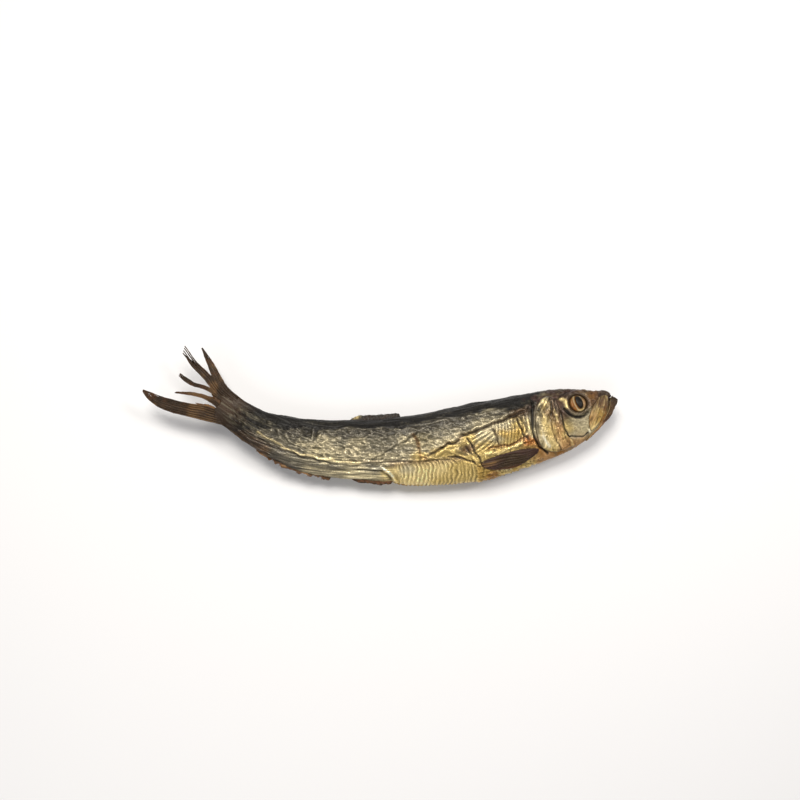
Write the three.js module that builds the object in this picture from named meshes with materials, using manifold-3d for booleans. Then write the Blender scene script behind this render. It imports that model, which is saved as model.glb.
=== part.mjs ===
// A whole smoked herring lying on its left side.
// Millimetres, +Z up. The snout points to +X, the back of the fish to +Y, and the right flank looks up.
// Places on the fish are given in its own terms: a station is a distance along the backbone from the
// snout, and a height is a distance from the backbone, positive towards the back.
import * as THREE from "three";
import { mergeVertices } from "three/addons/utils/BufferGeometryUtils.js";
import Module from "manifold-3d";

const wasm = await Module();
wasm.setup();

// ---- Driving dimensions ----
const BODY_LENGTH = 208; // snout to the root of the tail fin, along the backbone
const BODY_DEPTH = 39; // back to belly at the deepest place
const BODY_THICKNESS = 20; // flank to flank at the thickest place
const BELLY_SAG = 1.5; // how far the ribbed belly hangs below the line of the tail, just before the vent
const REST_FLATTENING = 1.2; // how far the lower flank is pressed flat where the fish lies
const PIECE_GAP = 0.4; // clear space between neighbouring pieces

const EYE_DIAMETER = 10;
const EYE_THICKNESS = 4.6;
const EYE_STANDS_OUT = 0.6; // how far the eyeball stands out of the head
const GILL_COVER_THICKNESS = 0.9;
const UPPER_JAW_THICKNESS = 0.7;

const FIN_THICKNESS = 0.9;
// from: where the fin starts, as a share of BODY_LENGTH; up: how high it lies, as a share of half depth.
const DORSAL_FIN = { from: 0.539, length: 29, spread: 3.2 };
const ANAL_FIN = { from: 0.702, length: 38, spread: 1.7 };
const PELVIC_FIN = { from: 0.562, length: 22, spread: 1.9 };
const PECTORAL_FIN = { from: 0.2284, length: 28, width: 5.6, up: -0.7 };
const TAIL_ROOT = { length: 7, flare: 1.12 }; // where the tail's rays still hold together
const TAIL_STRANDS = [
  // across: where it leaves the root, from the belly edge (-1) to the back edge (1)
  // angle: degrees from the body's axis, positive towards the back; hook: how far its tip curls over
  { across: 0.84, angle: 19, length: 29, width: 2.6, hook: 0 },
  { across: 0.5, angle: 11, length: 34, width: 3.4, hook: 1 },
  { across: 0.12, angle: -1, length: 26, width: 1.5, hook: 3 },
  { across: -0.16, angle: -14, length: 24, width: 1.5, hook: 1 },
  { across: -0.6, angle: -24, length: 38, width: 5.4, hook: 5 },
];

// ---- The shape of a herring ----
// The backbone's bend as the fish dried, seen from above, before it is scaled to BODY_LENGTH.
const BACKBONE_BEND = [
  [119.5, 15.5],
  [99, 8.2],
  [72, 0.3],
  [45, -6],
  [18, -9.2],
  [-9, -9.8],
  [-36, -7.6],
  [-56.5, -2.1],
  [-70, 5],
  [-80.3, 12.4],
];
// Share of BODY_LENGTH, share of BODY_DEPTH.
const DEPTH_PROFILE = [
  [0, 0],
  [0.004, 0.07],
  [0.0135, 0.165],
  [0.037, 0.36],
  [0.072, 0.565],
  [0.106, 0.705],
  [0.14, 0.808],
  [0.174, 0.872],
  [0.208, 0.905],
  [0.242, 0.934],
  [0.307, 0.98],
  [0.351, 0.995],
  [0.406, 0.955],
  [0.471, 0.9],
  [0.537, 0.845],
  [0.575, 0.815],
  [0.634, 0.785],
  [0.701, 0.742],
  [0.765, 0.68],
  [0.832, 0.58],
  [0.904, 0.456],
  [0.95, 0.415],
  [1, 0.425],
];
// Share of BODY_LENGTH, share of BODY_THICKNESS.
const THICKNESS_PROFILE = [
  [0, 0],
  [0.004, 0.06],
  [0.0135, 0.13],
  [0.037, 0.28],
  [0.072, 0.44],
  [0.106, 0.56],
  [0.14, 0.65],
  [0.174, 0.71],
  [0.208, 0.76],
  [0.242, 0.89],
  [0.275, 0.96],
  [0.351, 1],
  [0.471, 0.96],
  [0.537, 0.9],
  [0.634, 0.79],
  [0.765, 0.62],
  [0.832, 0.51],
  [0.904, 0.38],
  [0.95, 0.29],
  [1, 0.2],
];
// Share of BODY_LENGTH, millimetres: the head and the tail dried clear of the surface the fish lies on.
const LIFT_PROFILE = [
  [0, 3.2],
  [0.1, 2],
  [0.2, 0.75],
  [0.3, 0],
  [0.6, 0],
  [0.76, 1.2],
  [0.9, 3.8],
  [1, 5.6],
];
// Share of BODY_LENGTH, share of BELLY_SAG: it grows along the ribs and ends at the vent.
const SAG_PROFILE = [
  [0.3, 0],
  [0.42, 0.6],
  [0.535, 1],
  [0.55, 0.7],
  [0.568, 0],
];
const BACK_FULLNESS = 0.18; // how much rounder the back is than the belly

// A smooth curve through [x, y] points that never overshoots them.
function profile(points) {
  const slope = points.slice(1).map(([x, y], i) => (y - points[i][1]) / (x - points[i][0]));
  const tangent = points.map((_, i) => {
    const before = slope[i - 1] ?? slope[0];
    const after = slope[i] ?? slope[slope.length - 1];
    return before * after <= 0 ? 0 : (2 * before * after) / (before + after);
  });
  return (x) => {
    const inside = THREE.MathUtils.clamp(x, points[0][0], points[points.length - 1][0]);
    const found = points.findIndex(([px]) => px > inside);
    const i = (found < 0 ? points.length - 1 : found) - 1;
    const span = points[i + 1][0] - points[i][0];
    const t = (inside - points[i][0]) / span;
    return (
      points[i][1] * (1 + 2 * t) * (1 - t) ** 2 +
      tangent[i] * span * t * (1 - t) ** 2 +
      points[i + 1][1] * t * t * (3 - 2 * t) +
      tangent[i + 1] * span * t * t * (t - 1)
    );
  };
}

const depthShare = profile(DEPTH_PROFILE);
const thicknessShare = profile(THICKNESS_PROFILE);
const liftAt = profile(LIFT_PROFILE);
const sagShare = profile(SAG_PROFILE);
const halfDepth = (station) => (depthShare(station / BODY_LENGTH) * BODY_DEPTH) / 2;
// How far the body reaches from the backbone, to the back (edge 1) or to the belly (edge -1).
const reach = (station, edge) =>
  halfDepth(station) + (edge < 0 ? BELLY_SAG * sagShare(station / BODY_LENGTH) : 0);
const halfThickness = (station) => (thicknessShare(station / BODY_LENGTH) * BODY_THICKNESS) / 2;
const lift = (station) => liftAt(station / BODY_LENGTH);

function makeBackbone() {
  const through = (size) =>
    new THREE.CatmullRomCurve3(
      BACKBONE_BEND.map(([x, y]) => new THREE.Vector3(x * size, y * size, 0)),
      false,
      "catmullrom",
      0.5,
    );
  const curve = through(BODY_LENGTH / through(1).getLength());
  curve.arcLengthDivisions = 1000;
  return curve;
}
const backbone = makeBackbone();

// The backbone's point, its direction towards the tail and the direction to the back of the fish.
function boneAt(station) {
  const share = THREE.MathUtils.clamp(station / BODY_LENGTH, 0, 1);
  const tailward = backbone.getTangentAt(share);
  const point = backbone.getPointAt(share).addScaledVector(tailward, station - share * BODY_LENGTH);
  const backward = new THREE.Vector3(tailward.y, -tailward.x, 0);
  return { point, tailward, backward };
}

// A place given by station, height and distance sideways from the middle of the fish.
function place(station, height, sideways) {
  const { point, backward } = boneAt(station);
  return point.addScaledVector(backward, height).setZ(sideways + lift(station));
}

// How far the flank stands out from the middle at a height.
const FULLEST = 1 + (BACK_FULLNESS * BACK_FULLNESS) / 2; // the flank is fullest a little above the middle
function flank(station, height) {
  const t = THREE.MathUtils.clamp(height / reach(station, height), -1, 1);
  return (halfThickness(station) * Math.sqrt(1 - t * t) * (1 + BACK_FULLNESS * t)) / FULLEST;
}

// ---- Solids ----
const range = (count, from, to) =>
  Array.from({ length: count + 1 }, (_, i) => from + ((to - from) * i) / count);

// A closed surface through rings of points that all have the same count, with a flat end at each side.
function throughRings(rings) {
  const count = rings[0].length;
  const points = rings.flat();
  const faces = [];
  for (let r = 0; r + 1 < rings.length; r++) {
    for (let i = 0; i < count; i++) {
      const a = r * count + i;
      const b = r * count + ((i + 1) % count);
      faces.push(a, b, a + count, b, b + count, a + count);
    }
  }
  for (const [ring, turned] of [[0, true], [rings.length - 1, false]]) {
    const centre = points.length;
    points.push(rings[ring].reduce((sum, p) => sum.clone().add(p), new THREE.Vector3()).divideScalar(count));
    for (let i = 0; i < count; i++) {
      const a = ring * count + i;
      const b = ring * count + ((i + 1) % count);
      faces.push(centre, turned ? b : a, turned ? a : b);
    }
  }
  const geometry = new THREE.BufferGeometry().setFromPoints(points).setIndex(faces);
  return facingOut(geometry);
}

// Turns every face round if the surface is inside out.
function facingOut(geometry) {
  const at = geometry.getAttribute("position");
  const corner = (i) => new THREE.Vector3().fromBufferAttribute(at, geometry.index.getX(i));
  let volume = 0;
  for (let i = 0; i < geometry.index.count; i += 3) {
    volume += corner(i).dot(corner(i + 1).cross(corner(i + 2)));
  }
  if (volume < 0) {
    for (let i = 0; i < geometry.index.count; i += 3) {
      const kept = geometry.index.getX(i);
      geometry.index.setX(i, geometry.index.getX(i + 1));
      geometry.index.setX(i + 1, kept);
    }
  }
  return geometry;
}

function solid(geometry) {
  const bare = geometry.clone();
  bare.deleteAttribute("normal");
  bare.deleteAttribute("uv");
  const merged = mergeVertices(bare);
  return new wasm.Manifold(
    new wasm.Mesh({
      numProp: 3,
      vertProperties: merged.getAttribute("position").array,
      triVerts: new Uint32Array(merged.index.array),
    }),
  );
}

function surface(made) {
  const { numProp, vertProperties, triVerts } = made.getMesh();
  const position = new Float32Array((vertProperties.length / numProp) * 3);
  for (let i = 0; i < position.length / 3; i++) {
    position.set(vertProperties.subarray(i * numProp, i * numProp + 3), i * 3);
  }
  return new THREE.BufferGeometry()
    .setAttribute("position", new THREE.BufferAttribute(position, 3))
    .setIndex(new THREE.BufferAttribute(triVerts, 1));
}

// ---- Body and jaws ----
const BODY_RINGS = 58;
const BODY_SIDES = 32;
const RING_CROWDING = 0.55; // rings stand closer together at the snout, where the outline turns fastest
const SNOUT_TIP = 0.002; // share of BODY_LENGTH

// The whole fish without its fins, pressed flat where it lies.
function wholeBody(restLevel) {
  const rings = range(BODY_RINGS, 0, 1).map((step) => {
    const share = (1 - RING_CROWDING) * step + RING_CROWDING * step * step;
    const station = BODY_LENGTH * Math.max(SNOUT_TIP, share);
    return range(BODY_SIDES, 0, 2 * Math.PI).slice(0, -1).map((turn) => {
      const height = reach(station, Math.cos(turn)) * Math.cos(turn);
      const point = place(station, height, Math.sign(Math.sin(turn)) * flank(station, height));
      return point.setZ(Math.max(point.z, restLevel));
    });
  });
  return throughRings(rings);
}

// Everything in front of and below the mouth, as a block through the whole head.
const MOUTH_LINE = [
  [0.0101, 1.03],
  [0.0197, 0.42],
  [0.0298, -0.32],
  [0.0452, -0.7],
  [0.0683, -0.86],
  [0.0894, -0.92],
  [0.1154, -1.02],
]; // share of BODY_LENGTH, share of the half depth there
function belowMouth(gap) {
  const line = MOUTH_LINE.map(([along, up]) => {
    const station = along * BODY_LENGTH;
    return place(station, up * halfDepth(station), 0);
  });
  const first = line[0];
  const last = line[line.length - 1];
  const alongMouth = new THREE.Vector3().subVectors(last, first).normalize();
  const outOfHead = new THREE.Vector3(0, 0, 1).cross(alongMouth);
  const far = BODY_DEPTH / 2;
  const kerf = line.map((p) => p.clone().addScaledVector(outOfHead, -gap));
  const outside = [
    last.clone().addScaledVector(outOfHead, far).addScaledVector(alongMouth, far / 4),
    first.clone().addScaledVector(outOfHead, far).addScaledVector(alongMouth, -far),
  ];
  const shape = new THREE.Shape([...kerf, ...outside].map((p) => new THREE.Vector2(p.x, p.y)));
  const block = new THREE.ExtrudeGeometry(shape, { depth: 2 * BODY_THICKNESS, bevelEnabled: false });
  return solid(block.translate(0, 0, -BODY_THICKNESS));
}

// ---- Eyes ----
const EYE_PLACE = { along: 0.099, up: 0.36 }; // share of BODY_LENGTH, share of the half depth there
function eyeball(side, grow) {
  const station = EYE_PLACE.along * BODY_LENGTH;
  const height = EYE_PLACE.up * halfDepth(station);
  const on = (s, h) => place(s, h, side * flank(s, h));
  const half = EYE_DIAMETER / 2;
  const alongSkin = on(station + half, height).sub(on(station - half, height));
  const upSkin = on(station, height + half).sub(on(station, height - half));
  const outward = alongSkin.cross(upSkin).normalize();
  if (outward.z * side < 0) {
    outward.negate();
  }
  const ball = new THREE.SphereGeometry(1, 20, 12);
  ball.scale(half + grow, half + grow, EYE_THICKNESS / 2 + grow);
  ball.applyQuaternion(new THREE.Quaternion().setFromUnitVectors(new THREE.Vector3(0, 0, 1), outward));
  const centre = on(station, height).addScaledVector(outward, EYE_STANDS_OUT - EYE_THICKNESS / 2);
  return ball.translate(centre.x, centre.y, centre.z);
}

// ---- Plates that lie on the flank ----
// outline: a closed curve through [station, height] points, seen from its middle without overhangs.
const PLATE_RINGS = 5;
const PLATE_SPOKES = 28;
function plateOnFlank(outline, side, thickness) {
  const rim = new THREE.CatmullRomCurve3(outline.map(([s, h]) => new THREE.Vector3(s, h, 0)), true);
  const edge = rim.getSpacedPoints(PLATE_SPOKES).slice(0, -1);
  const middle = edge.reduce((sum, p) => sum.clone().add(p), new THREE.Vector3()).divideScalar(edge.length);
  const ring = (share, out) =>
    edge.map((p) => {
      const on = middle.clone().lerp(p, share);
      return place(on.x, on.y, side * (flank(on.x, on.y) + out));
    });
  const shares = range(PLATE_RINGS - 1, 1 / PLATE_RINGS, 1);
  const inner = shares.map((share) => ring(share, PIECE_GAP));
  const outer = shares.map((share) => ring(share, PIECE_GAP + thickness)).reverse();
  return throughRings([...inner, ...outer]);
}

const bodyShares = (points) =>
  points.map(([along, up]) => [along * BODY_LENGTH, up * halfDepth(along * BODY_LENGTH)]);

const GILL_COVER_OUTLINE = bodyShares([
  [0.15, 0.5],
  [0.162, 0.72],
  [0.182, 0.7],
  [0.2, 0.5],
  [0.214, 0.19],
  [0.2205, -0.09],
  [0.222, -0.37],
  [0.2175, -0.6],
  [0.206, -0.76],
  [0.188, -0.86],
  [0.168, -0.9],
  [0.148, -0.92],
  [0.135, -0.9],
  [0.1505, -0.56],
  [0.154, -0.3],
  [0.1505, 0.1],
]);
const UPPER_JAW_OUTLINE = bodyShares([
  [0.025, 0.7],
  [0.0345, -0.12],
  [0.0495, -0.52],
  [0.07, -0.72],
  [0.0915, -0.8],
  [0.0935, -0.6],
  [0.085, -0.24],
  [0.068, 0.08],
  [0.045, 0.5],
]);
// A folded fin: a slim leaf with a narrow root, lying back along the flank.
function pectoralOutline({ from, length, width, up }) {
  const leaf = [
    [0, 0.3],
    [0.3, 0.5],
    [0.66, 0.46],
    [0.95, 0.3],
    [1, 0.12],
    [0.94, -0.18],
    [0.74, -0.42],
    [0.42, -0.5],
    [0.14, -0.2],
    [0, 0.05],
  ];
  const start = from * BODY_LENGTH;
  const height = up * halfDepth(start + length / 2);
  return leaf.map(([along, across]) => [start + along * length, height + across * width]);
}

// ---- Fins on the edge of the body ----
// edge: 1 on the back, -1 on the belly. sideways: the middle of the fin's thickness.
const EDGE_FIN_RINGS = 14;
// How much of its full spread the fin has along its length: it rises at once, then narrows to its tip.
const finRise = profile([
  [0, 0.25],
  [0.1, 0.94],
  [0.5, 0.7],
  [1, 0.4],
]);
function finOnEdge({ from, length, spread }, edge, sideways) {
  const rings = range(EDGE_FIN_RINGS, 0, 1).map((share) => {
    const station = from * BODY_LENGTH + share * length;
    const root = reach(station, edge) + PIECE_GAP;
    const rim = root + spread * finRise(share);
    const corners = [[root, -0.5], [root, 0.5], [rim, 0.5], [rim, -0.5]];
    return corners.map(([height, across]) =>
      place(station, edge * height, sideways + across * FIN_THICKNESS),
    );
  });
  return throughRings(rings);
}

// ---- Tail fin ----
// Drawn flat, with x along the body's axis from its end and y towards the back, then set at the body's end.
const STRAND_BULGE = 0.7; // how far along a strand its edges swing out most, as a share of its length
const STRAND_TIP = 0.6; // width of a strand's tip
function tailStrand({ across, angle, length, width, hook }, rootHalf) {
  const turn = THREE.MathUtils.degToRad(angle);
  const along = new THREE.Vector2(Math.cos(turn), Math.sin(turn));
  const sideways = new THREE.Vector2(-along.y, along.x);
  const root = new THREE.Vector2(PIECE_GAP, across * rootHalf);
  const at = (share, out) =>
    root.clone().addScaledVector(along, share * length).addScaledVector(sideways, out);
  const [lowRoot, lowBulge, lowTip, highTip, highBulge, highRoot] = [
    at(0, -width / 2),
    at(STRAND_BULGE, -0.75 * width),
    at(1, hook - STRAND_TIP / 2),
    at(1, hook + STRAND_TIP / 2),
    at(STRAND_BULGE, 0.35 * width),
    at(0, width / 2),
  ];
  const shape = new THREE.Shape();
  shape.moveTo(PIECE_GAP, lowRoot.y);
  shape.quadraticCurveTo(lowBulge.x, lowBulge.y, lowTip.x, lowTip.y);
  shape.lineTo(highTip.x, highTip.y);
  shape.quadraticCurveTo(highBulge.x, highBulge.y, PIECE_GAP, highRoot.y);
  return new THREE.ExtrudeGeometry(shape, { depth: FIN_THICKNESS, bevelEnabled: false, curveSegments: 8 });
}

function tailFin() {
  const rootHalf = halfDepth(BODY_LENGTH);
  const rimHalf = rootHalf * TAIL_ROOT.flare;
  const root = new THREE.Shape();
  root.moveTo(PIECE_GAP, -rootHalf);
  root.lineTo(PIECE_GAP, rootHalf);
  root.lineTo(TAIL_ROOT.length, rimHalf);
  root.lineTo(TAIL_ROOT.length, -rimHalf);
  root.closePath();
  let fin = solid(new THREE.ExtrudeGeometry(root, { depth: FIN_THICKNESS, bevelEnabled: false }));
  for (const strand of TAIL_STRANDS) {
    fin = fin.add(solid(tailStrand(strand, rootHalf)));
  }
  const { tailward, backward } = boneAt(BODY_LENGTH);
  const sideways = new THREE.Vector3().crossVectors(tailward, backward);
  const set = new THREE.Matrix4().makeBasis(tailward, backward, sideways);
  set.setPosition(place(BODY_LENGTH, 0, (-sideways.z * FIN_THICKNESS) / 2));
  return facingOut(surface(fin).applyMatrix4(set));
}

// ---- Materials ----
const material = (color, roughness, metalness) =>
  new THREE.MeshStandardMaterial({ color, roughness, metalness });
const SKIN = material(0x8d876a, 0.4, 0.35);
const BONE_PLATE = material(0xa8986a, 0.35, 0.35);
const JAW = material(0x5a4a3c, 0.5, 0.1);
const EYE = material(0x3a2416, 0.15, 0);
const FIN = material(0x4a3322, 0.55, 0);

// ---- Assembly ----
const fish = new THREE.Group();
function add(name, geometry, finish) {
  const mesh = new THREE.Mesh(geometry, finish);
  mesh.name = name;
  fish.add(mesh);
}

const plates = [];
for (const [name, side] of [["right", 1], ["left", -1]]) {
  const plate = (outline, thickness) => plateOnFlank(outline, side, thickness);
  plates.push([`${name}_gill_cover`, plate(GILL_COVER_OUTLINE, GILL_COVER_THICKNESS), BONE_PLATE]);
  plates.push([`${name}_upper_jaw`, plate(UPPER_JAW_OUTLINE, UPPER_JAW_THICKNESS), BONE_PLATE]);
  plates.push([`${name}_pectoral_fin`, plate(pectoralOutline(PECTORAL_FIN), FIN_THICKNESS), FIN]);
}

// The lower flank is pressed flat, but no plate on it is left to carry the fish.
const lowest = (geometry) => new THREE.Box3().setFromBufferAttribute(geometry.getAttribute("position")).min.z;
const pressed = -(BODY_THICKNESS / 2 - REST_FLATTENING);
const restLevel = Math.min(pressed, ...plates.map(([, geometry]) => lowest(geometry)));

const whole = solid(wholeBody(restLevel));
const sockets = [1, -1].map((side) => solid(eyeball(side, PIECE_GAP)));
const jawless = whole.subtract(belowMouth(PIECE_GAP));
add("body", surface(jawless.subtract(sockets[0]).subtract(sockets[1])), SKIN);
add("lower_jaw", surface(whole.intersect(belowMouth(0))), JAW);
plates.forEach((plate) => add(...plate));
add("dorsal_fin", finOnEdge(DORSAL_FIN, 1, 0), FIN);
add("anal_fin", finOnEdge(ANAL_FIN, -1, 0), FIN);
add("tail_fin", tailFin(), FIN);
for (const [name, side] of [["right", 1], ["left", -1]]) {
  add(`${name}_eye`, eyeball(side, 0), EYE);
  add(`${name}_pelvic_fin`, finOnEdge(PELVIC_FIN, -1, (side * (FIN_THICKNESS + PIECE_GAP)) / 2), FIN);
}

// The origin is the middle of the fish's own box, on the surface that it lies on.
const box = new THREE.Box3().setFromObject(fish);
const middle = box.getCenter(new THREE.Vector3());
fish.position.set(-middle.x, -middle.y, -box.min.z);

export default fish;
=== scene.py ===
# %% [markdown]
# # A whole smoked herring
# A herring that has been brined, dried and smoked is a good first study in skin. Its shape is a simple
# spindle, but the drying pulls the skin into folds, pleats and fine wrinkles, and the smoke turns silver to
# gold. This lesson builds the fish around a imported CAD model: the CAD gives each piece its place, and every
# visible piece here stands for one CAD node.

# %% Load the frame
import math

import bpy
import numpy as np
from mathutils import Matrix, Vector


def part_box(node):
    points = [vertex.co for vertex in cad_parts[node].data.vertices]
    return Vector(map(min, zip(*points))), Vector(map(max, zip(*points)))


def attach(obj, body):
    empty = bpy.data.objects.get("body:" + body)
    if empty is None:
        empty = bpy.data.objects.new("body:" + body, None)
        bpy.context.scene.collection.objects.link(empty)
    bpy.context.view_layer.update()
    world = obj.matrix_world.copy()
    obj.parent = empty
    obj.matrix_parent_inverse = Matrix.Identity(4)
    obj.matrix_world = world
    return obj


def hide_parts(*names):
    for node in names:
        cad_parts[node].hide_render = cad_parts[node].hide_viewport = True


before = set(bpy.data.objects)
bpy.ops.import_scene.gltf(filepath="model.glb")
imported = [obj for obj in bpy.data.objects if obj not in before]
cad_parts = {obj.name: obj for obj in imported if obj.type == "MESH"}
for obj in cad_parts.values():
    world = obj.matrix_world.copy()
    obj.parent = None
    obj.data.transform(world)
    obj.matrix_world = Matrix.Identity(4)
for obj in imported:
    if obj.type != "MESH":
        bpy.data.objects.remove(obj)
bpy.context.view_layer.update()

# %% [markdown]
# ## Camera, floor and light
# The camera comes first, because everything else is judged through it. It looks down steeply, as one looks
# at food on a table. One big soft lamp behind the fish gives the shadow that falls towards the viewer. Oily
# skin is seen mostly by its reflections, so a second strip lamp and a low fill give it something to mirror.

# %% Camera
ELEVATION = math.radians(78.5)
CAMERA_DISTANCE = 0.44
LOOK_AT = np.array([0.0093, 0.0106, 0.0])

towards_camera = np.array([0, -math.cos(ELEVATION), math.sin(ELEVATION)])
lens = bpy.data.cameras.new("camera")
lens.lens = 38
lens.sensor_width = 36
camera = bpy.data.objects.new("camera", lens)
camera.location = LOOK_AT + CAMERA_DISTANCE * towards_camera
camera.rotation_euler = (math.pi / 2 - ELEVATION, 0, 0)
bpy.context.scene.collection.objects.link(camera)
bpy.context.scene.camera = camera
print("camera at", [round(v, 4) for v in camera.location])

# %% Floor
FLOOR_SIZE = 3.0
FLOOR_DROP = 0.0002  # keeps the floor from touching the fish's flat side

floor_mesh = bpy.data.meshes.new("floor")
half = FLOOR_SIZE / 2
floor_mesh.from_pydata(
    [
        (-half, -half, -FLOOR_DROP), (half, -half, -FLOOR_DROP),
        (half, half, -FLOOR_DROP), (-half, half, -FLOOR_DROP),
    ],
    [],
    [(0, 1, 2, 3)],
)
floor = bpy.data.objects.new("floor", floor_mesh)
bpy.context.scene.collection.objects.link(floor)
floor_paint = bpy.data.materials.new("pale floor")
floor_paint.use_nodes = True
floor_shader = floor_paint.node_tree.nodes["Principled BSDF"]
floor_shader.inputs["Base Color"].default_value = (0.8, 0.81, 0.85, 1)
floor_shader.inputs["Roughness"].default_value = 0.85
floor_mesh.materials.append(floor_paint)
print("floor", FLOOR_SIZE, "m wide")


# %% Lights
def soft_lamp(name, place, size, watts, colour):
    """A square area lamp that points at the fish."""
    lamp = bpy.data.lights.new(name, "AREA")
    lamp.shape = "SQUARE"
    lamp.size = size
    lamp.energy = watts
    lamp.color = colour
    holder = bpy.data.objects.new(name, lamp)
    holder.location = place
    aim = -holder.location.normalized()
    holder.rotation_euler = aim.to_track_quat("-Z", "Y").to_euler()
    bpy.context.scene.collection.objects.link(holder)
    print(name, watts, "W")


soft_lamp("key lamp", (-0.09, 0.28, 0.66), 0.34, 4.7, (1.0, 0.95, 0.86))
soft_lamp("strip lamp", (0.42, 0.12, 0.5), 0.14, 1.3, (1.0, 0.96, 0.9))
soft_lamp("fill lamp", (-0.25, -0.6, 0.5), 0.6, 1.9, (1.0, 0.97, 0.93))

world = bpy.data.worlds.new("studio")
world.use_nodes = True
world.node_tree.nodes["Background"].inputs["Color"].default_value = (1.0, 0.98, 0.95, 1)
world.node_tree.nodes["Background"].inputs["Strength"].default_value = 0.25
bpy.context.scene.world = world
bpy.context.scene.view_settings.view_transform = "Standard"

# %% [markdown]
# ## A fish's own coordinates
# It is hard to model a bent fish in x and y, and easy in its own terms. A *station* is a distance along the
# backbone from the snout, and a *height* is a distance from the backbone towards the back. The backbone is
# one smooth curve through ten points. Both flanks, the fins and every fold are placed by station and
# height, and one function turns them into points of the frame. All of it is in millimetres, and each mesh
# is scaled to metres only when it is made.

# %% The herring's proportions
MM = 0.001
BODY_LENGTH = 208.0
BODY_DEPTH = 39.0
BODY_THICKNESS = 20.0
BELLY_SAG = 1.5
REST_FLATTENING = 1.2
BACK_FULLNESS = 0.18

BACKBONE_BEND = [
    (119.5, 15.5), (99, 8.2), (72, 0.3), (45, -6), (18, -9.2),
    (-9, -9.8), (-36, -7.6), (-56.5, -2.1), (-70, 5), (-80.3, 12.4),
]
# Each profile goes by shares of the length. Depth, thickness and sag are shares of their full size, and the
# lift off the table is in millimetres.
DEPTH_PROFILE = [
    (0, 0), (0.004, 0.07), (0.0135, 0.165), (0.037, 0.36), (0.072, 0.565), (0.106, 0.705), (0.14, 0.808),
    (0.174, 0.872), (0.208, 0.905), (0.242, 0.934), (0.307, 0.98), (0.351, 0.995), (0.406, 0.955),
    (0.471, 0.9), (0.537, 0.845), (0.575, 0.815), (0.634, 0.785), (0.701, 0.742), (0.765, 0.68),
    (0.832, 0.58), (0.904, 0.456), (0.95, 0.415), (1, 0.425),
]
THICKNESS_PROFILE = [
    (0, 0), (0.004, 0.06), (0.0135, 0.13), (0.037, 0.28), (0.072, 0.44), (0.106, 0.56), (0.14, 0.65),
    (0.174, 0.71), (0.208, 0.76), (0.242, 0.89), (0.275, 0.96), (0.351, 1), (0.471, 0.96), (0.537, 0.9),
    (0.634, 0.79), (0.765, 0.62), (0.832, 0.51), (0.904, 0.38), (0.95, 0.29), (1, 0.2),
]
LIFT_PROFILE = [(0, 3.2), (0.1, 2), (0.2, 0.75), (0.3, 0), (0.6, 0), (0.76, 1.2), (0.9, 3.8), (1, 5.6)]
SAG_PROFILE = [(0.3, 0), (0.42, 0.6), (0.535, 1), (0.55, 0.7), (0.568, 0)]


def smooth_curve(points):
    """A curve through (x, y) points that never overshoots them."""
    x, y = np.array(points, float).T
    slope = np.diff(y) / np.diff(x)
    before, after = np.r_[slope[0], slope], np.r_[slope, slope[-1]]
    total = np.where(before + after == 0, 1, before + after)
    lean = np.where(before * after > 0, 2 * before * after / total, 0)

    def at(value):
        value = np.clip(value, x[0], x[-1])
        i = np.clip(np.searchsorted(x, value, side="right") - 1, 0, len(x) - 2)
        span = x[i + 1] - x[i]
        t = (value - x[i]) / span
        return (
            y[i] * (1 + 2 * t) * (1 - t) ** 2
            + lean[i] * span * t * (1 - t) ** 2
            + y[i + 1] * t * t * (3 - 2 * t)
            + lean[i + 1] * span * t * t * (t - 1)
        )

    return at


print("proportions in millimetres:", BODY_LENGTH, "long,", BODY_DEPTH, "deep,", BODY_THICKNESS, "thick")

# %% The body's reach and thickness
depth_share = smooth_curve(DEPTH_PROFILE)
thickness_share = smooth_curve(THICKNESS_PROFILE)
lift_at = smooth_curve(LIFT_PROFILE)
sag_share = smooth_curve(SAG_PROFILE)


def half_depth(station):
    """Half the body's height, without the sag of the belly."""
    return depth_share(station / BODY_LENGTH) * BODY_DEPTH / 2


def reach(station, height):
    """How far the body goes from the backbone on the side of that height."""
    return half_depth(station) + np.where(height < 0, BELLY_SAG * sag_share(station / BODY_LENGTH), 0)


def flank(station, height):
    """How far the flank stands out from the middle."""
    t = np.clip(height / np.maximum(reach(station, height), 1e-6), -1, 1)
    fullest = 1 + BACK_FULLNESS**2 / 2
    half_thickness = thickness_share(station / BODY_LENGTH) * BODY_THICKNESS / 2
    return half_thickness * np.sqrt(1 - t * t) * (1 + BACK_FULLNESS * t) / fullest


print("the body is", round(2 * float(flank(73.0, 0.0)), 1), "mm thick behind the gill cover")


# %% The bent backbone
def make_backbone():
    """The backbone's points and the station of each."""
    p = np.array(BACKBONE_BEND, float)
    p = np.vstack([2 * p[0] - p[1], p, 2 * p[-1] - p[-2]])
    t = np.linspace(0, 1, 200, endpoint=False)[:, None]
    spans = []
    for a, b, c, d in zip(p, p[1:], p[2:], p[3:]):
        start, end = (c - a) / 2, (d - b) / 2
        spans.append(
            (2 * t**3 - 3 * t**2 + 1) * b + (t**3 - 2 * t**2 + t) * start
            + (3 * t**2 - 2 * t**3) * c + (t**3 - t**2) * end
        )
    line = np.vstack(spans + [p[-2:-1]])
    run = np.r_[0, np.cumsum(np.linalg.norm(np.diff(line, axis=0), axis=1))]
    size = BODY_LENGTH / run[-1]
    return line * size, run * size


BONE_LINE, BONE_RUN = make_backbone()
BONE_WAY = np.gradient(BONE_LINE, axis=0)
BONE_WAY /= np.linalg.norm(BONE_WAY, axis=1)[:, None]


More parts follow.
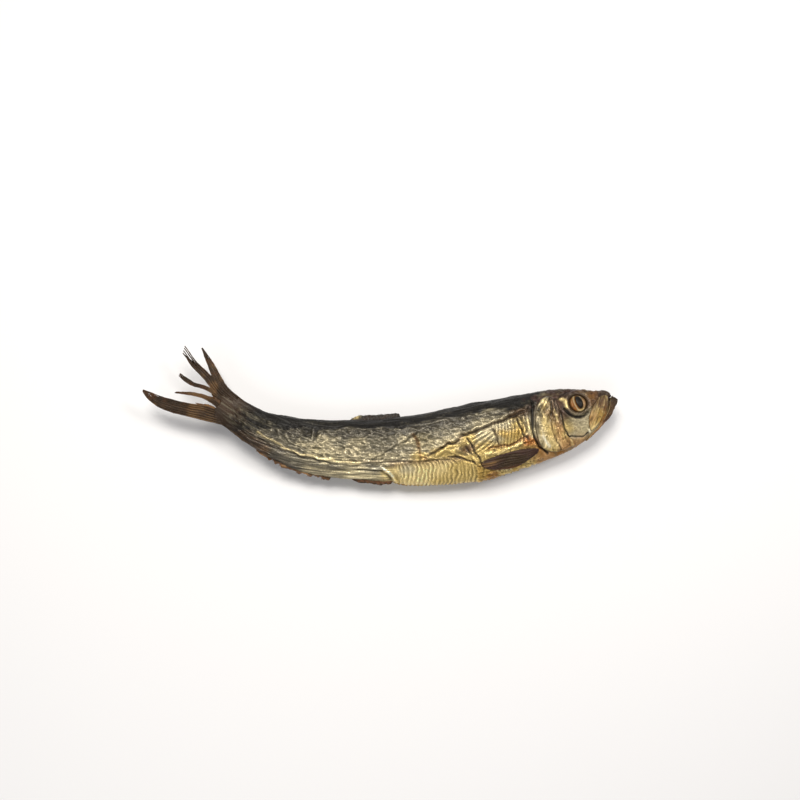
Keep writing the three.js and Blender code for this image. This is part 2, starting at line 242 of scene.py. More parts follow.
def bone_at(station):
    """The backbone's x and y, and its direction towards the tail."""
    inside = np.clip(station, 0, BODY_LENGTH)
    x, y = (np.interp(inside, BONE_RUN, BONE_LINE[:, k]) for k in (0, 1))
    wx, wy = (np.interp(inside, BONE_RUN, BONE_WAY[:, k]) for k in (0, 1))
    size = np.hypot(wx, wy)
    wx, wy = wx / size, wy / size
    return x + wx * (station - inside), y + wy * (station - inside), wx, wy


print("backbone bent through", len(BACKBONE_BEND), "points, measured at", len(BONE_RUN))


def loose_place(station, height, sideways):
    """A point in millimetres, before the fish is set down in the frame."""
    given = [np.asarray(value, float) for value in (station, height, sideways)]
    station, height, sideways = np.broadcast_arrays(*given)
    x, y, wx, wy = bone_at(station)
    return np.stack([x + wy * height, y - wx * height, sideways + lift_at(station / BODY_LENGTH)], -1)


# %% Setting the fish down in the frame
REST_LEVEL = -(BODY_THICKNESS / 2 - REST_FLATTENING)
stations, turns = np.meshgrid(np.linspace(0.4, BODY_LENGTH, 400), np.linspace(0, 2 * math.pi, 120))
heights = reach(stations, np.cos(turns)) * np.cos(turns)
plain = loose_place(stations, heights, np.sign(np.sin(turns)) * flank(stations, heights))
plain[..., 2] = np.maximum(plain[..., 2], REST_LEVEL)
SET_DOWN = np.array(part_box("body")[0]) / MM - plain.reshape(-1, 3).min(0)
print("the fish is set down by", SET_DOWN.round(3), "mm")


def place(station, height, sideways):
    """A point in millimetres in the frame."""
    return loose_place(station, height, sideways) + SET_DOWN


# %% [markdown]
# ## Rumpled skin from a few simple rules
# Dried skin shows three kinds of relief. There is an even rumple, which smooth noise gives. There are sharp
# creases that meet like those of crumpled foil, and the borders between the cells of a cell pattern give
# those. And there are single folds, each in a place of its own, which are drawn as strokes through a few
# points. All three are worked out here with numpy, because they move the mesh itself and don't only shade
# it. The first two take points of station, height and depth, so that their patterns run on over the ridge
# of the back.

# %% Noise and foil creases
def scatter(cell, seed):
    """A number from 0 to 1 for each whole-numbered place, always the same one."""
    h = cell[..., 0] * 374761393 + cell[..., 1] * 668265263 + cell[..., 2] * 1103515245
    h = (h + seed * 974634777) & 0xFFFFFFFF
    h = ((h ^ (h >> 13)) * 1274126177) & 0xFFFFFFFF
    h = ((h ^ (h >> 15)) * 2246822519) & 0xFFFFFFFF
    return ((h ^ (h >> 16)) & 0xFFFFFF) / 0xFFFFFF


CORNERS = np.array([(a, b, c) for a in (0, 1) for b in (0, 1) for c in (0, 1)])
NEIGHBOURS = np.array([(a, b, c) for a in (-1, 0, 1) for b in (-1, 0, 1) for c in (-1, 0, 1)])


def rumple(points, grain, seed, octaves=1):
    """Smooth noise from about -1 to 1, with hills as large as the grain."""
    total, weight = 0, 0
    for octave in range(octaves):
        p = points / np.array(grain, float) * 2.0**octave
        low = np.floor(p)
        f = p - low
        soft = f * f * (3 - 2 * f)
        cell = low.astype(np.int64)
        value = 0
        for corner in CORNERS:
            share = np.prod(np.where(corner == 1, soft, 1 - soft), -1)
            value = value + share * scatter(cell + corner, seed + 11 * octave)
        total = total + (2 * value - 1) * 0.55**octave
        weight += 0.55**octave
    return 1.5 * total / weight


def ridged(points, grain, seed, sharpness=3):
    """Thin ridges at 1 with wide hollows near 0."""
    return np.clip(1 - np.abs(rumple(points, grain, seed, 2)) * 1.6, 0, 1) ** sharpness


def foil(points, grain, seed):
    """0 on the creases between crumpled facets, rising to about 1 in the middle of each."""
    p = points / np.array(grain, float)
    cell = np.floor(p).astype(np.int64)
    first, second = np.full(p.shape[:-1], 9.0), np.full(p.shape[:-1], 9.0)
    for step_aside in NEIGHBOURS:
        near = cell + step_aside
        away = np.stack([scatter(near, seed + k) for k in (0, 7, 19)], -1) + near - p
        far = np.sqrt((away**2).sum(-1))
        second = np.minimum(second, np.maximum(first, far))
        first = np.minimum(first, far)
    return np.clip((second - first) * 1.5, 0, 1)


trial = np.stack(np.meshgrid(np.arange(60.0), np.arange(60.0), [0.0]), -1)
hills = rumple(trial, (7, 7, 7), 1)
print("rumple spans", hills.min().round(2), "to", hills.max().round(2))


# %% Soft limits, strokes and spots
def rise(low, high, value):
    """0 below low, 1 above high, smooth between them."""
    t = np.clip((value - low) / (high - low), 0, 1)
    return t * t * (3 - 2 * t)


def window(value, low, high, soft):
    """1 between low and high, fading to 0 over the soft distance outside them."""
    return rise(low - soft, low, value) * (1 - rise(high, high + soft, value))


def stroke(station, height, points, width):
    """1 along a line through (station, height) points, falling off over its width."""
    near = np.full(station.shape, 1e9)
    for (s0, h0), (s1, h1) in zip(points, points[1:]):
        rows = (
            (station > min(s0, s1) - 3 * width) & (station < max(s0, s1) + 3 * width)
            & (height > min(h0, h1) - 3 * width) & (height < max(h0, h1) + 3 * width)
        )
        s, h = station[rows] - s0, height[rows] - h0
        ds, dh = s1 - s0, h1 - h0
        t = np.clip((s * ds + h * dh) / (ds * ds + dh * dh), 0, 1)
        near[rows] = np.minimum(near[rows], (s - t * ds) ** 2 + (h - t * dh) ** 2)
    return np.exp(-near / width**2)


def spot(station, height, centre, radii, turn=0.0):
    """A soft oval patch, 1 in its middle."""
    s, h = station - centre[0], height - centre[1]
    c, d = math.cos(math.radians(turn)), math.sin(math.radians(turn))
    return np.exp(-(((s * c + h * d) / radii[0]) ** 2 + ((h * c - s * d) / radii[1]) ** 2))


print("a stroke is", stroke(np.array([5.5]), np.array([1.0]), [(0, 0), (9, 0)], 1.0).round(2), "a width away")

# %% [markdown]
# ## Paint and materials
# Smoke, oil and silver lie on a fish in patches that follow its anatomy: a black back, a silver flank, a
# gold belly and a brown snout. A patch like that is painted on the mesh, one colour for each vertex, so
# that a fold's own relief can add painted shade in its hollows and painted highlights on its crests. The
# material then only has to add what is smaller than the mesh: the grain of the scales, the oily sheen and the
# fine bumps. `Wire` lets that shader be written as sums in Python, and `Recipe.node` makes any other node.

# %% Nodes written as Python
class Wire:
    """The socket of a node, ready to be used in sums or fed into other nodes."""

    def __init__(self, recipe, socket):
        self.recipe = recipe
        self.socket = socket

    def sum_with(self, operation, other, swapped=False):
        """A math node with this socket and another value, or the other way round."""
        pair = (other, self) if swapped else (self, other)
        return self.recipe.node("ShaderNodeMath", {"operation": operation}, dict(enumerate(pair)))

    def __add__(self, other):
        return self.sum_with("ADD", other)

    def __radd__(self, other):
        return self.sum_with("ADD", other, True)

    def __sub__(self, other):
        return self.sum_with("SUBTRACT", other)

    def __rsub__(self, other):
        return self.sum_with("SUBTRACT", other, True)

    def __mul__(self, other):
        return self.sum_with("MULTIPLY", other)

    def __rmul__(self, other):
        return self.sum_with("MULTIPLY", other, True)


class Recipe:
    """Adds nodes to one tree, of a material or of Geometry Nodes."""

    def __init__(self, tree):
        self.tree = tree

    def node(self, kind, settings=None, inputs=None, out=0):
        """A node of that type: its settings are set first, then its sockets by name or number."""
        made = self.tree.nodes.new(kind)
        for key, value in (settings or {}).items():
            setattr(made, key, value)
        for key, value in (inputs or {}).items():
            if isinstance(value, Wire):
                self.tree.links.new(value.socket, made.inputs[key])
            else:
                made.inputs[key].default_value = value
        return Wire(self, made.outputs[out]) if len(made.outputs) else made

    def within(self, value, low=0.0, high=1.0):
        """The value, kept between two limits."""
        return self.node("ShaderNodeClamp", {}, {0: value, 1: low, 2: high})

    def product(self, a, b):
        """Two colours, multiplied."""
        settings = {"data_type": "RGBA", "blend_type": "MULTIPLY"}
        return self.node("ShaderNodeMix", settings, {0: 1.0, 6: a, 7: b}, 2)


def new_material(name):
    """An empty material and its recipe."""
    material = bpy.data.materials.new(name)
    material.use_nodes = True
    material.node_tree.nodes.clear()
    return material, Recipe(material.node_tree)


print("Wire and Recipe are ready")


# %% The finish that all the fish's parts share
BUMP_DEPTH = 0.35  # millimetres
DRY_GLOSS = 0.22  # how strongly tissue mirrors light that meets it straight on
COAT_BLUR = 0.28


def fish_finish(name, grain, bump, roughness, coat, see_through=0.0, metal=1.0, speck=0.22):
    """Oily dried tissue: painted colour, fine grain in millimetres, sheen and small bumps."""
    material, r = new_material(name)
    place_on_it = r.node("ShaderNodeTexCoord", {}, {}, "Object")
    paint = r.node("ShaderNodeAttribute", {"attribute_name": "tint"}, {}, "Color")
    shine = r.node("ShaderNodeAttribute", {"attribute_name": "shine"}, {}, "Fac")

    def noise(size, detail, roughness=0.55):
        return r.node("ShaderNodeTexNoise", {}, {
            "Vector": place_on_it, "Scale": 1 / (size * MM), "Detail": detail, "Roughness": roughness,
        })

    coarse = noise(grain * 3.2, 3)
    fine = noise(grain, 2, 0.65)
    cells = r.node("ShaderNodeTexVoronoi", {"feature": "DISTANCE_TO_EDGE"}, {
        "Vector": place_on_it, "Scale": 1 / (grain * 1.7 * MM),
    })
    edge = r.within(cells * 5)
    strength = (fine - 0.5) * 2.4 * speck + (coarse - 0.5) * 1.6 * speck + 1 - (1 - edge) * speck * 0.55
    level = r.node("ShaderNodeCombineColor", {}, {0: strength, 1: strength, 2: strength * 0.985})
    colour = r.product(paint, level)
    relief = fine * 0.55 + coarse * 0.9 + edge * 0.35
    bumped = r.node("ShaderNodeBump", {}, {"Strength": bump, "Distance": BUMP_DEPTH * MM, "Height": relief})
    dull = roughness + (coarse - 0.5) * 0.35 + (0.5 - fine) * 0.25 + 0.12
    inputs = {
        "Base Color": colour,
        "Metallic": r.within(shine * metal),
        "Roughness": r.within(dull - shine * 0.42, 0.14, 0.95),
        "Normal": bumped,
        "Coat Weight": r.within(coat * (0.15 + shine * 2.2)),
        "Coat Roughness": COAT_BLUR,
        "IOR": 1.45,
        "Specular IOR Level": DRY_GLOSS,
    }
    if see_through:
        inputs["Alpha"] = r.within(1 - see_through * (0.35 + fine * 0.9) * (1 - shine))
    shader = r.node("ShaderNodeBsdfPrincipled", {}, inputs)
    r.node("ShaderNodeOutputMaterial", {}, {"Surface": shader})
    print("finish", name)
    return material


SKIN = fish_finish("dried silver skin", grain=0.62, bump=0.55, roughness=0.36, coat=0.22)
GILL_BONE = fish_finish("gill bone", grain=0.8, bump=0.35, roughness=0.34, coat=0.3, speck=0.16)
JAW_BONE = fish_finish("jaw bone", grain=0.7, bump=0.4, roughness=0.4, coat=0.22, speck=0.2)

# %% A palette of cured fish
# Linear red, green and blue.
PALETTE = {
    "black": (0.007, 0.006, 0.005),
    "blue black": (0.015, 0.0145, 0.0145),
    "slate": (0.062, 0.054, 0.040),
    "grey": (0.145, 0.128, 0.09),
    "silver": (0.325, 0.28, 0.18),
    "pale": (0.45, 0.39, 0.24),
    "straw": (0.47, 0.345, 0.12),
    "gold": (0.42, 0.275, 0.07),
    "cream": (0.66, 0.515, 0.235),
    "white": (0.85, 0.78, 0.60),
    "amber": (0.25, 0.115, 0.025),
    "orange": (0.27, 0.09, 0.012),
    "pink": (0.36, 0.20, 0.08),
    "rust": (0.14, 0.055, 0.02),
    "brown": (0.10, 0.055, 0.025),
    "umber": (0.035, 0.02, 0.010),
    "plum": (0.045, 0.022, 0.018),
    "olive": (0.11, 0.09, 0.045),
}
PALETTE = {name: np.array(colour) for name, colour in PALETTE.items()}
SPOT_SIZE = 4.0  # how far one spot of colour goes before the next takes over, in millimetres
SPOT_SOFTNESS = 0.4
SPOT_SHARPNESS = 2.2


def lay(paint, colour, share):
    """One more coat of a colour over the paint, as thick as its share from 0 to 1."""
    if isinstance(colour, str):
        colour = PALETTE[colour]
    return paint + (colour - paint) * np.clip(share, 0, 1)[..., None]


def from_spots(station, height, spots, across=1.0):
    """Paint that runs smoothly between spots of (station, height, colour)."""
    total, weight = 0, 0
    for s, h, name in spots:
        far = ((station - s) ** 2 + ((height - h) * across) ** 2) / SPOT_SIZE**2 + SPOT_SOFTNESS
        share = far**-SPOT_SHARPNESS
        total = total + PALETTE[name] * share[..., None]
        weight = weight + share
    return total / weight[..., None]


print(len(PALETTE), "colours")


# %% A closed shape from rings of points
def grid_faces(rows, columns):
    """Faces over rings of points, each ring holding the same number."""
    faces = []
    for i in range(rows - 1):
        a, b = i * columns, (i + 1) * columns
        for j in range(columns):
            k = (j + 1) % columns
            faces.append((a + j, a + k, b + k, b + j))
    return faces


def cap_faces(row, columns, pole):
    """Triangles from one ring of points to a single point."""
    return [(row + j, row + (j + 1) % columns, pole) for j in range(columns)]


def outward(points, faces):
    """The faces, turned so that a closed shape has its outside out."""
    corners = points[np.array([face[:3] for face in faces])]
    volume = np.einsum("ij,ij->", corners[:, 0], np.cross(corners[:, 1], corners[:, 2]))
    fourth = np.array([face if len(face) == 4 else face[:1] * 4 for face in faces])
    rest = points[fourth[:, [0, 2, 3]]]
    volume += np.einsum("ij,ij->", rest[:, 0], np.cross(rest[:, 1], rest[:, 2]))
    return faces if volume > 0 else [face[::-1] for face in faces]


def close_rings(rows, first_pole=None):
    """Rings of points, closed at both ends by a pole: all the points, and faces that look outwards."""
    around = len(rows[0])
    if first_pole is None:
        first_pole = rows[0].mean(0)
    points = np.concatenate([np.concatenate(rows), [first_pole], [rows[-1].mean(0)]])
    faces = grid_faces(len(rows), around)
    faces += [face[::-1] for face in cap_faces(0, around, len(points) - 2)]
    faces += cap_faces((len(rows) - 1) * around, around, len(points) - 1)
    return points, outward(points, faces)


def over_rings(rows):
    """A value for each point of closed rings and for their two poles."""
    return np.concatenate([np.concatenate(rows), rows[0][:1], rows[-1][:1]])


trial_ring = np.array([(1.0, 0.0, 0.0), (0.0, 1.0, 0.0), (-1.0, 0.0, 0.0), (0.0, -1.0, 0.0)])
trial_points_of_tube, trial_faces = close_rings([trial_ring, trial_ring + (0, 0, 1)])
print("two rings of 4 give", len(trial_points_of_tube), "points and", len(trial_faces), "faces")


# %% Making a piece from points, faces and paint
def make_piece(name, points, faces, tint, shine, materials, node, kinds=None):
    """A finished piece, from points in millimetres in the frame."""
    mesh = bpy.data.meshes.new(name)
    mesh.from_pydata((points * MM).tolist(), [], faces)
    colour = mesh.attributes.new("tint", "FLOAT_COLOR", "POINT")
    rgba = np.concatenate([np.clip(tint, 0.002, 0.95), np.ones((len(points), 1))], 1)
    colour.data.foreach_set("color", rgba.astype(np.float32).ravel())
    gloss = mesh.attributes.new("shine", "FLOAT", "POINT")
    gloss.data.foreach_set("value", np.clip(shine, 0, 1).astype(np.float32).ravel())
    for material in materials:
        mesh.materials.append(material)
    if kinds is not None:
        mesh.polygons.foreach_set("material_index", kinds)
    mesh.polygons.foreach_set("use_smooth", [True] * len(mesh.polygons))
    mesh.update()
    piece = bpy.data.objects.new(name, mesh)
    bpy.context.scene.collection.objects.link(piece)
    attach(piece, "root")
    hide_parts(node)
    print(name, len(points), "points,", sum(len(face) - 2 for face in faces), "triangles")
    return piece


# %% [markdown]
# ## The skin of the whole body
# On the real fish the skin runs in one piece from the mouth to the tail, so one closed mesh makes it here.
# Its rows run along the fish and its rings go round it, closer together on the flank that faces up. The
# first ring follows the mouth's opening and then turns inwards, as a lip does. Everything else is relief: a
# fold moves the vertices in or out, and the paint then gets painted shade in the hollows and painted
# highlights on the crests.
#
# The large folds are drawn one by one. Each is a line through a few points of (station, height). The lines
# that are painted as well are named, so that the relief and the paint use the same ones; along the creases
# that paint is painted shade.

# %% Lines that are both folded and painted
FURROW = [
    (94, -2.4), (90.4, -0.7), (85, 0.3), (82, 3.2), (78, 3), (73.7, 3.9), (66.3, 5.5), (57.5, 6.5),
    (48.7, 8.5), (45.9, 9.6),
]
FURROW_END = [(101.7, -6.3), (97.7, -4.1), (92.6, -1.7)]
CREASE = [
    (80.3, 0.8), (78.9, -1.6), (77.9, -4.2), (77.4, -7), (76.0, -9.4), (75.2, -12), (74.6, -14.5),
    (75.1, -17.8),
]
FIN_LINE = [(71.2, -6), (65.5, -6.2), (61, -6.6), (55.7, -5.6), (50.8, -4.4)]
RIBS_EDGE = [(90.5, -6.5), (86.4, -7.7), (81.1, -9.6), (78.1, -11.1), (76.3, -13.5)]
BELLY_LINE = [(138.4, -6.7), (126, -6.7), (116.7, -6.8), (104.8, -7.4), (94.9, -7.6), (89.6, -7.9)]
SHOULDER_PLEAT = [(66.4, 2.3), (65.4, -0.7), (65, -5.7)]
NECK_PLEAT = [(53.5, 5.5), (52.7, 1.1), (51.9, -3.4), (50.3, -6.3)]
CROSS_FOLD = [(106.5, 5.6), (104.8, 2.3), (104.5, -2.6), (104.1, -5.5), (101.7, -6.3)]
SLANTED_FOLD = [(127.5, -6.3), (122.9, -3.1), (118.4, -0.9), (114.8, 0.9), (109.8, 3.9), (105.1, 6.2)]
VENT_RIM = [(133, -9.3), (126.5, -9.4), (122.9, -9.5), (119.2, -11.2), (117.4, -13.5), (115.7, -16.4)]
TAIL_RIDGE = [
    (184.7, -1.6), (181.4, -2.9), (174, -3.3), (169.6, -4.6), (163.7, -5.8), (151.3, -6.1), (144.9, -7.1),
    (133.5, -7.5),
]
TAIL_GROOVE = [(183.3, -4.4), (173.2, -5.7), (163.4, -6.7), (154.2, -7.4), (144.8, -8.7)]
CHEEK_EDGE = [
    (31.0, 3), (31.4, -1.1), (31.3, -6.5), (30.6, -9.7), (27.4, -10.9), (23.5, -11.9), (20.2, -11.0),
]
CHEEK_FRONT = [(16.0, -2.2), (17.4, -6), (19.6, -10.6)]
GILL_SLIT = [
    (43.0, 12.6), (43.6, 9.3), (45.6, 3.4), (47.0, -1.9), (47.2, -6), (45.6, -11), (42.6, -14.6),
]
print("the long furrow has", len(FURROW), "points")

# %% Where the folds lie
# Each fold: its line, its width and how far it stands out, in millimetres.
FOLDS = [
    # the long furrow over the flank, with a raised lip above it
    (FURROW, 0.6, -0.75),
    ([(93, -0.9), (86, 1.8), (82.5, 4.7), (77.5, 4.6), (70, 6.3), (62, 7.2), (53.7, 8.8)], 0.6, 0.4),
    (FURROW_END, 0.55, -0.6),
    # the deep crease behind the tip of the breast fin
    (CREASE, 0.42, -0.6),
    ([(79.8, -2), (78.6, -6), (77.9, -9.5), (77.2, -12)], 0.6, 0.35),
    ([(81.3, -3), (80.1, -5.6), (78.2, -8), (76.7, -10.7)], 0.4, -0.4),
    # the ridge above the breast fin and the line under it
    ([(73.2, -7.9), (68.5, -8.7), (61.6, -8.2), (54.4, -7), (51.4, -6.3)], 0.7, 0.7),
    (FIN_LINE, 0.45, -0.6),
    # the upper edge of the ribbed belly
    (RIBS_EDGE, 0.45, -0.55),
    (BELLY_LINE, 0.4, -0.4),
    # pleats of the shoulder
    (SHOULDER_PLEAT, 0.4, -0.55),
    (NECK_PLEAT, 0.45, -0.6),
    ([(51.9, 6.5), (50.4, 2.9), (49.9, -2.5)], 0.4, -0.45),
    ([(54.6, 5), (53.9, 1), (53, -3)], 0.5, 0.4),
    # cross folds of the middle
    (CROSS_FOLD, 0.5, -0.5),
    (SLANTED_FOLD, 0.5, -0.45),
    ([(126.5, -4.9), (121.5, -1.7), (116, 1.4), (110, 5.1)], 0.5, 0.3),
    ([(133.3, -0.4), (131, -2.2)], 0.45, -0.5),
    ([(130.5, -0.3), (127.9, -5.4)], 0.45, 0.45),
    # around the vent
    (VENT_RIM, 0.7, 0.55),
    ([(134, -10.9), (124.5, -10.8), (120.6, -12.2), (118.6, -15)], 0.6, -0.45),
    # long ridges towards the tail
    (TAIL_RIDGE, 0.6, 0.6),
    (TAIL_GROOVE, 0.6, -0.5),
    ([(164.2, -3.3), (156.5, -2.2), (151.9, -1.3), (146, -2.7), (142.3, -0.8), (137.6, 0.7)], 0.45, -0.45),
    ([(171, 0), (164.5, -2), (161.3, -2.3), (155, -3.6)], 0.5, 0.5),
    # the hollow near the tail and the pleats beside it
    ([(158.3, 8), (157.6, 5.6), (158.3, 2.8)], 0.55, 0.6),
    ([(153.6, 7), (154.2, 5.4), (154.8, 3.9)], 0.5, 0.55),
    ([(156, 7.6), (155.9, 4.2)], 0.45, -0.45),
    # thin lines under the dark back
    ([(139.4, 8.4), (129.5, 9.4), (119.5, 10.1), (109.4, 10.7), (96.1, 11), (86.9, 12)], 0.4, 0.35),
    ([(139, 3.3), (131, 4.9), (126.1, 7.5), (120.8, 6.2)], 0.4, 0.35),
]
WANDER = 0.42  # how far a fold strays from its line, in millimetres
print(len(FOLDS), "folds on the trunk")

# %% Folds and bony lines of the head
HEAD_LINES = [
    # the plate of the cheek, edged behind and below
    (CHEEK_EDGE, 0.42, -0.55),
    (CHEEK_FRONT, 0.45, 0.35),
    # the deep fold under the eye
    ([(28.4, 3.7), (26.9, 0.6), (24.8, -1.5), (22.6, -2.3), (20.4, -2.3), (17.4, -1.4)], 0.6, -0.8),
    ([(29.6, 2.6), (27.6, -1.0), (24.6, -3.2)], 0.5, 0.25),
    # the slit behind the gill cover
    (GILL_SLIT, 0.7, -0.9),
    ([(45.6, 12), (47.6, 6), (49.2, 0), (49.0, -6)], 0.9, 0.35),
    # the edge of the skull over the cheek
    ([(37.5, 11.6), (32.5, 10.4), (29.5, 9.8), (27.6, 11.4), (24, 12.1)], 0.6, -0.5),
]
HEAD_WANDER = 0.28
EYE_CENTRE = (20.6, 4.75)
EYE_SOCKET = 5.3  # the socket's radius
SOCKET_DEPTH = 1.7
SNOUT_KNOB = 1.7  # how far the snout bulges above the mouth
print(len(HEAD_LINES), "lines on the head")

# %% [markdown]
# ## Relief from rules
# Between the drawn folds the skin follows rules, one for each region: crumpled foil on the flank,
# lengthwise lines on the back and on the lower flank behind the belly, close pleats on the shoulder,
# slanted slats behind them, and bowed ribs on the belly. Windows along and across the fish fade each rule
# into the next one.

# %% Two ways to bend a pattern
def wandered(where, amount, grain):
    """Station and height, pushed about a little so that no drawn line runs quite straight."""
    return [where[..., k] + amount * rumple(where, (grain, grain, grain), 61 + k) for k in (0, 1)]


def turned(where, c, d):
    """The points with station and height turned by the angle whose cosine and sine are c and d."""
    station, height, depth = np.moveaxis(where, -1, 0)
    return np.stack([c * station + d * height, c * height - d * station, depth], -1)


furrow_start = np.array([[*FURROW[0], 9.0]])
print("the point", furrow_start, "wanders to", np.round(wandered(furrow_start, WANDER, 3), 2))


# %% Relief of the trunk
def relief_of_trunk(where, share):
    """Wrinkles, pleats and ribs that follow a rule."""
    station, height = where[..., 0], where[..., 1]
    trunk = window(station, 52, 196, 7)
    shoulder = window(station, 52, 76, 4) * window(share, -0.28, 0.3, 0.08)
    flanks = trunk * window(share, -0.38, 0.6, 0.12) * (1 - 0.6 * shoulder)
    back = rise(0.45, 0.7, share)
    low = 1 - rise(-0.42, -0.3, share)

    relief = 0.45 * rumple(where, (15, 8, 8), 3, 2) * trunk
    # crumpled foil over the flank, in large facets and small ones
    facets = foil(where, (4.6, 3.4, 6), 21) - 0.5
    crumbs = foil(where, (3.6, 1.5, 3), 22) - 0.5
    calm = 0.25 + 1.05 * rise(-0.45, 0.55, rumple(where, (13, 6.5, 9), 33, 2))
    relief += flanks * (0.55 * facets + 0.26 * calm * crumbs)
    relief += flanks * 0.45 * ridged(turned(where, 0.9, 0.43), (8.0, 2.3, 5), 31, 6)
    relief += flanks * 0.4 * calm * ridged(where, (7.0, 1.4, 4), 32, 5)
    relief += flanks * 0.4 * ridged(where, (9, 2.1, 4), 34, 6) * rise(95, 125, station)
    breast = window(station, 47, 77, 2) * low
    relief += breast * (0.5 * ridged(where, (3.0, 1.5, 3), 35, 4) + 0.4 * foil(where, (2.6, 1.9, 3), 36))
    # lengthwise lines on the back and on the lower flank behind the belly
    lines = ridged(where, (26, 1.9, 3.4), 41, 3)
    hairlines = ridged(where, (14, 0.9, 1.6), 42, 2)
    lined = trunk * np.clip(back + 1.7 * low * rise(112, 124, station), 0, 1.7)
    relief += (0.3 * lines + 0.16 * hairlines) * lined
    relief += 0.2 * lines * flanks * rise(118, 140, station)
    # close pleats of the shoulder, and the slats behind them
    wander = 0.7 * rumple(where, (7, 5, 7), 51)
    pleats = np.abs(np.sin(math.pi * ((station + 0.22 * height) / 1.75 + wander)))
    relief += 0.58 * (pleats - 0.5) * window(station, 49, 66, 3) * window(share, -0.3, 0.32, 0.1)
    slats = np.abs(np.sin(math.pi * ((station * 0.42 + height * 0.91) / 1.9 + 0.6 * wander)))
    relief += 0.52 * (slats - 0.5) * window(station, 68, 78, 2) * window(height, -6, 2.5, 1)
    # ribs of the belly, each bowed towards the head, steep on one side and gentle on the other
    bow = ((share + 0.7) / 0.3) ** 2
    ribs = ((station - 1.7 * bow) / 1.85 + 0.5 * wander + 0.25 * rumple(where, (2.2, 2.6, 3), 52)) % 1
    ribs = np.where(ribs < 0.72, ribs / 0.72, (1 - ribs) / 0.28)
    belly = window(station, 79, 114, 3) * (1 - rise(-0.46, -0.38, share))
    strength = 0.55 + 0.9 * rise(-0.5, 0.5, rumple(where, (3, 2, 3), 53))
    return relief + 0.46 * (ribs - 0.5) * belly * strength


def trial_points(station, height):
    """One point of the upper flank, as its coordinates and its share of the height."""
    where = np.array([[station, height, float(flank(station, height))]])
    return where, where[:, 1] / reach(where[:, 0], where[:, 1])


print("relief in the middle of the flank", relief_of_trunk(*trial_points(100.0, 0.0)).round(2), "mm")


# %% Relief of the head
def relief_of_head(where, share):
    """Eye sockets, bony hollows and the streaks of the snout."""
    station, height = where[..., 0], where[..., 1]
    head = 1 - rise(40, 48, station)
    relief = 0
    bent = wandered(where, HEAD_WANDER, 2.6)
    for line, width, stands in HEAD_LINES:
        relief = relief + stands * stroke(*bent, line, width)
    far = np.hypot(station - EYE_CENTRE[0], height - EYE_CENTRE[1])
    relief += -SOCKET_DEPTH * (1 - rise(EYE_SOCKET - 0.9, EYE_SOCKET, far)) * head
    relief += 0.4 * np.exp(-(((far - EYE_SOCKET - 1) / 0.6) ** 2)) * head * rise(-1.5, 1.5, height)
    relief += head * 0.3 * (foil(where, (3.0, 2.4, 3.0), 71) - 0.4) * rise(0.3, 0.6, share)
    relief += head * 0.22 * ridged(where, (2.4, 1.7, 3), 72, 3) * (1 - rise(0.2, 0.5, share))
    # streaks of the snout run down and back
    streaks = ridged(turned(where, 0.8, 0.6), (5, 1.1, 4), 73, 3)
    relief += 0.3 * streaks * (1 - rise(15, 18, station)) * rise(-0.1, 0.15, share)
    return relief + SNOUT_KNOB * np.exp(-(((station - 5.2) / 2.8) ** 2)) * rise(0.5, 0.95, share)


print("relief in the eye's socket", relief_of_head(*trial_points(*EYE_CENTRE)).round(2), "mm")


# %% Relief of the whole skin
def relief_of_skin(station, height, depth, share):
    """How far the skin stands out from the smooth body, in millimetres."""
    where = np.stack([station, height, depth], -1)
    up = rise(-1.5, 1.5, depth)  # 1 on the flank that faces up
    trunk = window(station, 52, 196, 7)
    relief = relief_of_trunk(where, share) + relief_of_head(where, share)
    relief += -0.9 * spot(station, height, (161, 5.9), (3.4, 2.4)) * up

    fades = 0.45 + 0.9 * rise(-0.6, 0.5, rumple(where, (6, 6, 6), 63))
    bent = wandered(where, WANDER, 3)
    for line, width, stands in FOLDS:
        relief += up * fades * stands * stroke(*bent, line, width)
        # the hidden flank is folded in its own places
        start = line[0][0]
        moved = bent[0] - 6 + 4 * math.sin(start), bent[1] * 1.06 + 1.5 * math.cos(start)
        relief += (1 - up) * stands * stroke(*moved, line, width) * trunk
    return relief


furrow_point, furrow_share = trial_points(*FURROW[3])
print("relief on the furrow", relief_of_skin(*furrow_point.T, furrow_share).round(2), "mm")


# %% The mesh of the body
MOUTH_LINE = [(2.1, 1.03), (4.1, 0.42), (6.2, -0.32), (9.4, -0.7), (14.2, -0.86), (18.6, -0.92), (24, -1.02)]
mouth_station = smooth_curve([(share, s) for s, share in reversed(MOUTH_LINE)])

COLUMNS = 440
ROWS_UP = 124
ROWS_DOWN = 82
MOUTH_FADE = 70.0  # behind this station the columns stand upright again
CROWDING = 0.28  # how much closer the columns stand at the head than on average


def even_turns(count):
    """Angles from back to belly that step evenly over a flank twice as tall as it is thick."""
    turn = np.linspace(0, math.pi, 2001)
    run = np.r_[0, np.cumsum(np.hypot(np.diff(np.cos(turn)), 0.5 * np.diff(np.sin(turn))))]
    return np.interp(np.linspace(0, run[-1], count + 1)[:-1], run, turn)


turn = np.r_[even_turns(ROWS_UP), math.pi + even_turns(ROWS_DOWN)]
even = np.linspace(0, 1, COLUMNS)
along = BODY_LENGTH * ((1 - CROWDING) * even + CROWDING * even**2)
mouth_pull = (1 - np.minimum(along / MOUTH_FADE, 1)) ** 2
S = along[:, None] + mouth_station(np.cos(turn)) * mouth_pull[:, None]
S *= BODY_LENGTH / S[-1].max()
share = np.broadcast_to(np.cos(turn), S.shape)
H = reach(S, share) * share
